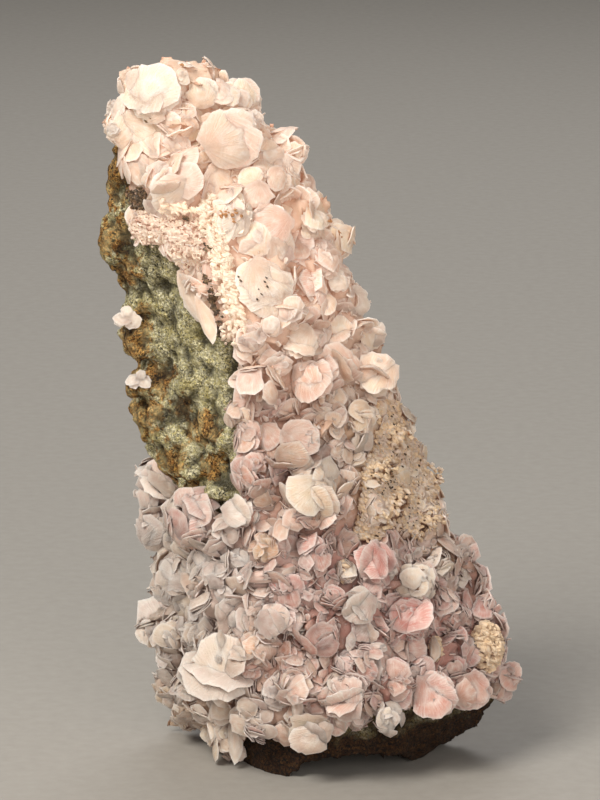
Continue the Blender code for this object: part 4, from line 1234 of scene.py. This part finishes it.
# %% The pieces of the crust
# Dark specks that lie on the crust: (across, up, size)
SPECKS = [(-6.4, 66.7, 0.5), (-6.0, 66.0, 0.6), (-6.8, 65.0, 0.5), (-7.4, 64.3, 0.5), (-6.2, 67.3, 0.35),
          (-9.5, 66.9, 0.45), (-9.9, 67.4, 0.5), (-22.5, 88.9, 0.6), (-21.9, 89.3, 0.35), (-7.1, 65.6, 0.35),
          (10.4, 40.4, 0.6), (9.7, 39.0, 0.7), (11.2, 38.6, 0.6), (8.3, 40.0, 0.45), (12.8, 41.2, 0.5),
          (13.5, 37.6, 0.5), (11.8, 36.2, 0.45), (15.0, 36.0, 0.4), (21.2, 25.5, 0.5), (19.8, 28.2, 0.4)]


def crust_surface(pieces):
    """The points and faces of several pieces as one list each."""
    points, faces = [], []
    for piece in pieces:
        faces += [tuple(index + len(points) for index in polygon.vertices) for polygon in piece.data.polygons]
        points += [vertex.co.copy() for vertex in piece.data.vertices]
    return points, faces


dark_finish, tree, shader = new_material("dark_grain", Roughness=0.6)
dark = use_group(tree, grain_group, {
    "Light": colour(132, 106, 76), "Middle": colour(78, 62, 46), "Dark": colour(24, 18, 13), "Size": 0.4 * MM})
feed(tree, shader.inputs["Base Color"], mixed(tree, ranged(tree, stored(tree, "honey"), 0.5, 0.8), dark["Colour"], colour(184, 134, 90)))
GRAIN_SHARP = 22.0
petal_pieces = [growth.piece("petals_" + name) for name, growth in petals_of.items()]
chip_pieces = [chips.piece("chips"), frost_growth.piece("white_spikes", GRAIN_SHARP), grain_growth.piece("calcite_grains", GRAIN_SHARP)]
for piece in (*petal_pieces, chip_pieces[0]):
    piece.data.materials.append(pink_calcite)
for piece in chip_pieces[1:]:
    piece.data.materials.append(white_calcite)

# %% Flakes on the blades
def values_of(pieces, name):
    """One of the stored values, for all the points of several pieces."""
    found = []
    for piece in pieces:
        values = np.empty(len(piece.data.vertices), np.float32)
        piece.data.attributes[name].data.foreach_get("value", values)
        found.append(values)
    return np.concatenate(found)


FLAKE_PLACES = 3400
CLEAR_OF_A_FLAKE = 2.0 * MM
surface_points, surface_faces = crust_surface(petal_pieces)
shown = BVHTree.FromPolygons(surface_points, surface_faces)
corners = np.array([point[:] for point in surface_points])[np.array(surface_faces)]
turns = np.cross(corners[:, 1] - corners[:, 0], corners[:, 2] - corners[:, 0])
face_areas = np.linalg.norm(turns, axis=1)
face_reach = np.cumsum(face_areas) / face_areas.sum()
blushes, smokes, honeys = (values_of(petal_pieces, name) for name in ("blush", "smoke", "honey"))
flakes = Growth()
flakes.stands_out = NAMED_STANDS_OUT
placed = 0
while placed < FLAKE_PLACES:
    index = int(np.searchsorted(face_reach, chance.random()))
    centre = Vector(corners[index].mean(axis=0))
    normal = Vector(turns[index] / face_areas[index])
    first = surface_faces[index][0]
    placed += 1
    if shown.ray_cast(centre + normal * 0.1 * MM, normal, CLEAR_OF_A_FLAKE)[0] is not None:
        continue
    up = in_view(centre)[1]
    if chance.random() > min(0.8, max(0.0, (72.0 - up) / 25.0)) * (1.0 - smokes[first]):
        continue
    along_face = turned(normal.orthogonal().normalized(), chance.uniform(0.0, math.tau), normal)
    lean = math.radians(chance.uniform(0.0, 26.0))
    outward = along_face * math.cos(lean) + normal * math.sin(lean)
    tone = (blushes[first], smokes[first], honeys[first])
    length = chance.uniform(0.8, 1.7) * MM
    for step in range(chance.choice((1, 1, 2))):
        size = length * chance.uniform(0.75, 1.0)
        flakes.blade(chance.choice(FLAKES), centre - outward * 0.45 * size + normal * 0.22 * step * MM,
                     outward, normal, size, size * chance.uniform(0.7, 1.0), tone, chance.uniform(-0.2, 0.1))
print("flakes:", len(flakes.points))
flake_piece = flakes.piece("flakes")
flake_piece.data.materials.append(pink_calcite)
chip_pieces.append(flake_piece)

# %% Dark specks on the crust
# Orange stains that lie on the crust: (across, up, spread, count)
STAINS = [(-17.9, 96.5, 0.4, 14), (-11.0, 75.9, 1.2, 18), (4.1, 73.7, 0.6, 5), (2.4, 75.2, 0.4, 4)]
shown = BVHTree.FromPolygons(*crust_surface((*petal_pieces, *chip_pieces)))
for across, up, size in SPECKS:
    place, normal = seen_at(shown, across, up)
    for _ in range(3):
        dark_growth.blade(chance.choice(GRAINS), place + jitter(normal, 0.5) * 0.1 * MM, normal, normal.orthogonal(),
                          0.6 * size * MM, 0.6 * size * MM * chance.uniform(0.7, 1.2), (0.0, 0.0, 0.2), free=True)
for across, up, spread, count in STAINS:
    for _ in range(count):
        spot = seen_at(shown, across + chance.gauss(0.0, 0.5 * spread), up + chance.gauss(0.0, 0.4 * spread))
        place, normal = spot
        size = chance.uniform(0.3, 0.6) * MM
        dark_growth.blade(chance.choice(GRAINS), place - normal * 0.2 * size, jitter(normal, 0.4),
                          jitter(normal.orthogonal(), 0.5), size, size, (0.0, 0.0, 1.0), free=True)
dark_piece = dark_growth.piece("dark_grains")
dark_piece.data.materials.append(dark_finish)

# %% The bed's own values
bed_values = [character(*in_view(vertex.co)) for vertex in bed.data.vertices]
for k, label in enumerate(("blush", "smoke", "honey")):
    keep_values(bed, label, [values[k] for values in bed_values])
keep_values(bed, "reach", [0.15] * len(bed.data.vertices))
keep_values(bed, "rim", [0.0] * len(bed.data.vertices))
keep_values(bed, "across", [0.0] * len(bed.data.vertices))
keep_values(bed, "tint", [0.3] * len(bed.data.vertices))
bed.data.materials.append(bed_calcite)

# %% How open each place lies
GAP_DEPTH = 3.0 * MM
SPREAD = math.radians(40.0)


def openness(point, normal, tree):
    """0 deep in a gap between crystals and 1 on a free tip, from three short looks outwards."""
    side = normal.orthogonal().normalized()
    looks = [normal * math.cos(SPREAD) + turned(side, math.tau * k / 3, normal) * math.sin(SPREAD) for k in range(3)]
    total = 0.0
    for look in looks:
        away = tree.ray_cast(point + normal * 0.04 * MM, look, GAP_DEPTH)[3]
        total += 1.0 if away is None else away / GAP_DEPTH
    return total / len(looks)


crust_pieces = (bed, *petal_pieces, *chip_pieces)
pale_grains = chip_pieces[1:3]
crust_shell = BVHTree.FromPolygons(*crust_surface(crust_pieces))
# Openness sets how much painted shade a place gets: the pale grains get less of it and the bed more.
for piece in crust_pieces:
    values = [openness(vertex.co, vertex.normal, crust_shell) for vertex in piece.data.vertices]
    if piece in pale_grains:
        values = [0.7 + 0.3 * value for value in values]
    if piece == bed:
        values = [0.5 * value for value in values]
    keep_values(piece, "open", values)
    print(f"{piece.name}: mean openness {np.mean(values):.2f}")

# %% [markdown]
# ## Lone crystals on the flank
# Two small white tufts stand alone on the bare rock.

# %% Lone tufts
# Each petal by its turn from the right, in degrees, and its length
TUFT_PETALS = {"flank_tuft_upper": [(172, 2.6), (100, 2.1), (-10, 2.8), (-40, 2.0)],
               "flank_tuft_lower": [(185, 2.4), (60, 1.8), (-35, 2.3)]}
tuft_pieces = []
for node_name in ("flank_tuft_upper", "flank_tuft_lower"):
    low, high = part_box(node_name)
    middle = (low + high) / 2
    growth = Growth()
    for angle, length in TUFT_PETALS[node_name]:
        outward = VIEW_ACROSS * math.cos(math.radians(angle)) + VIEW_UP * math.sin(math.radians(angle))
        for step in (0.0, 0.35):
            growth.blade(chance.choice(PETALS), middle - VIEW_AWAY * step * MM - outward * 0.2 * length * MM, outward,
                         jitter(-VIEW_AWAY + VIEW_UP * 0.4, 0.25), length * MM, 0.8 * length * MM, (0.0, 0.1, 0.0),
                         -0.3, -0.1, free=True)
    tuft = growth.piece(node_name.replace("flank_tuft", "lone_crystal"))
    keep_values(tuft, "open", [1.0] * len(tuft.data.vertices))
    tuft.data.materials.append(pink_calcite)
    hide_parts(node_name)
    tuft_pieces.append(tuft)

# %% Floor finish
floor_finish, tree, shader = new_material("pale_floor", Roughness=0.7, Specular_IOR_Level=0.2)
paper = ranged(tree, clouds(tree, 2.0 * MM, 6.0), 0.3, 0.7)
feed(tree, shader.inputs["Base Color"], mixed(tree, paper, colour(150, 145, 137), colour(156, 151, 143)))
floor.data.materials.append(floor_finish)

# %% Riding, replacing and sizes
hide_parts("host_rock")
for piece in (bed, *petal_pieces, *chip_pieces, dark_piece):
    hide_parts("calcite_crust")
for piece in (rock, bed, *petal_pieces, *chip_pieces, dark_piece, *tuft_pieces):
    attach(piece, "root")

visual_low, visual_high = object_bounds()
for axis, *sides in zip("xyz", cad_low, cad_high, visual_low, visual_high):
    print(axis, " ".join(f"{side / MM:7.2f}" for side in sides), "mm: packed low, high, shown low, high")
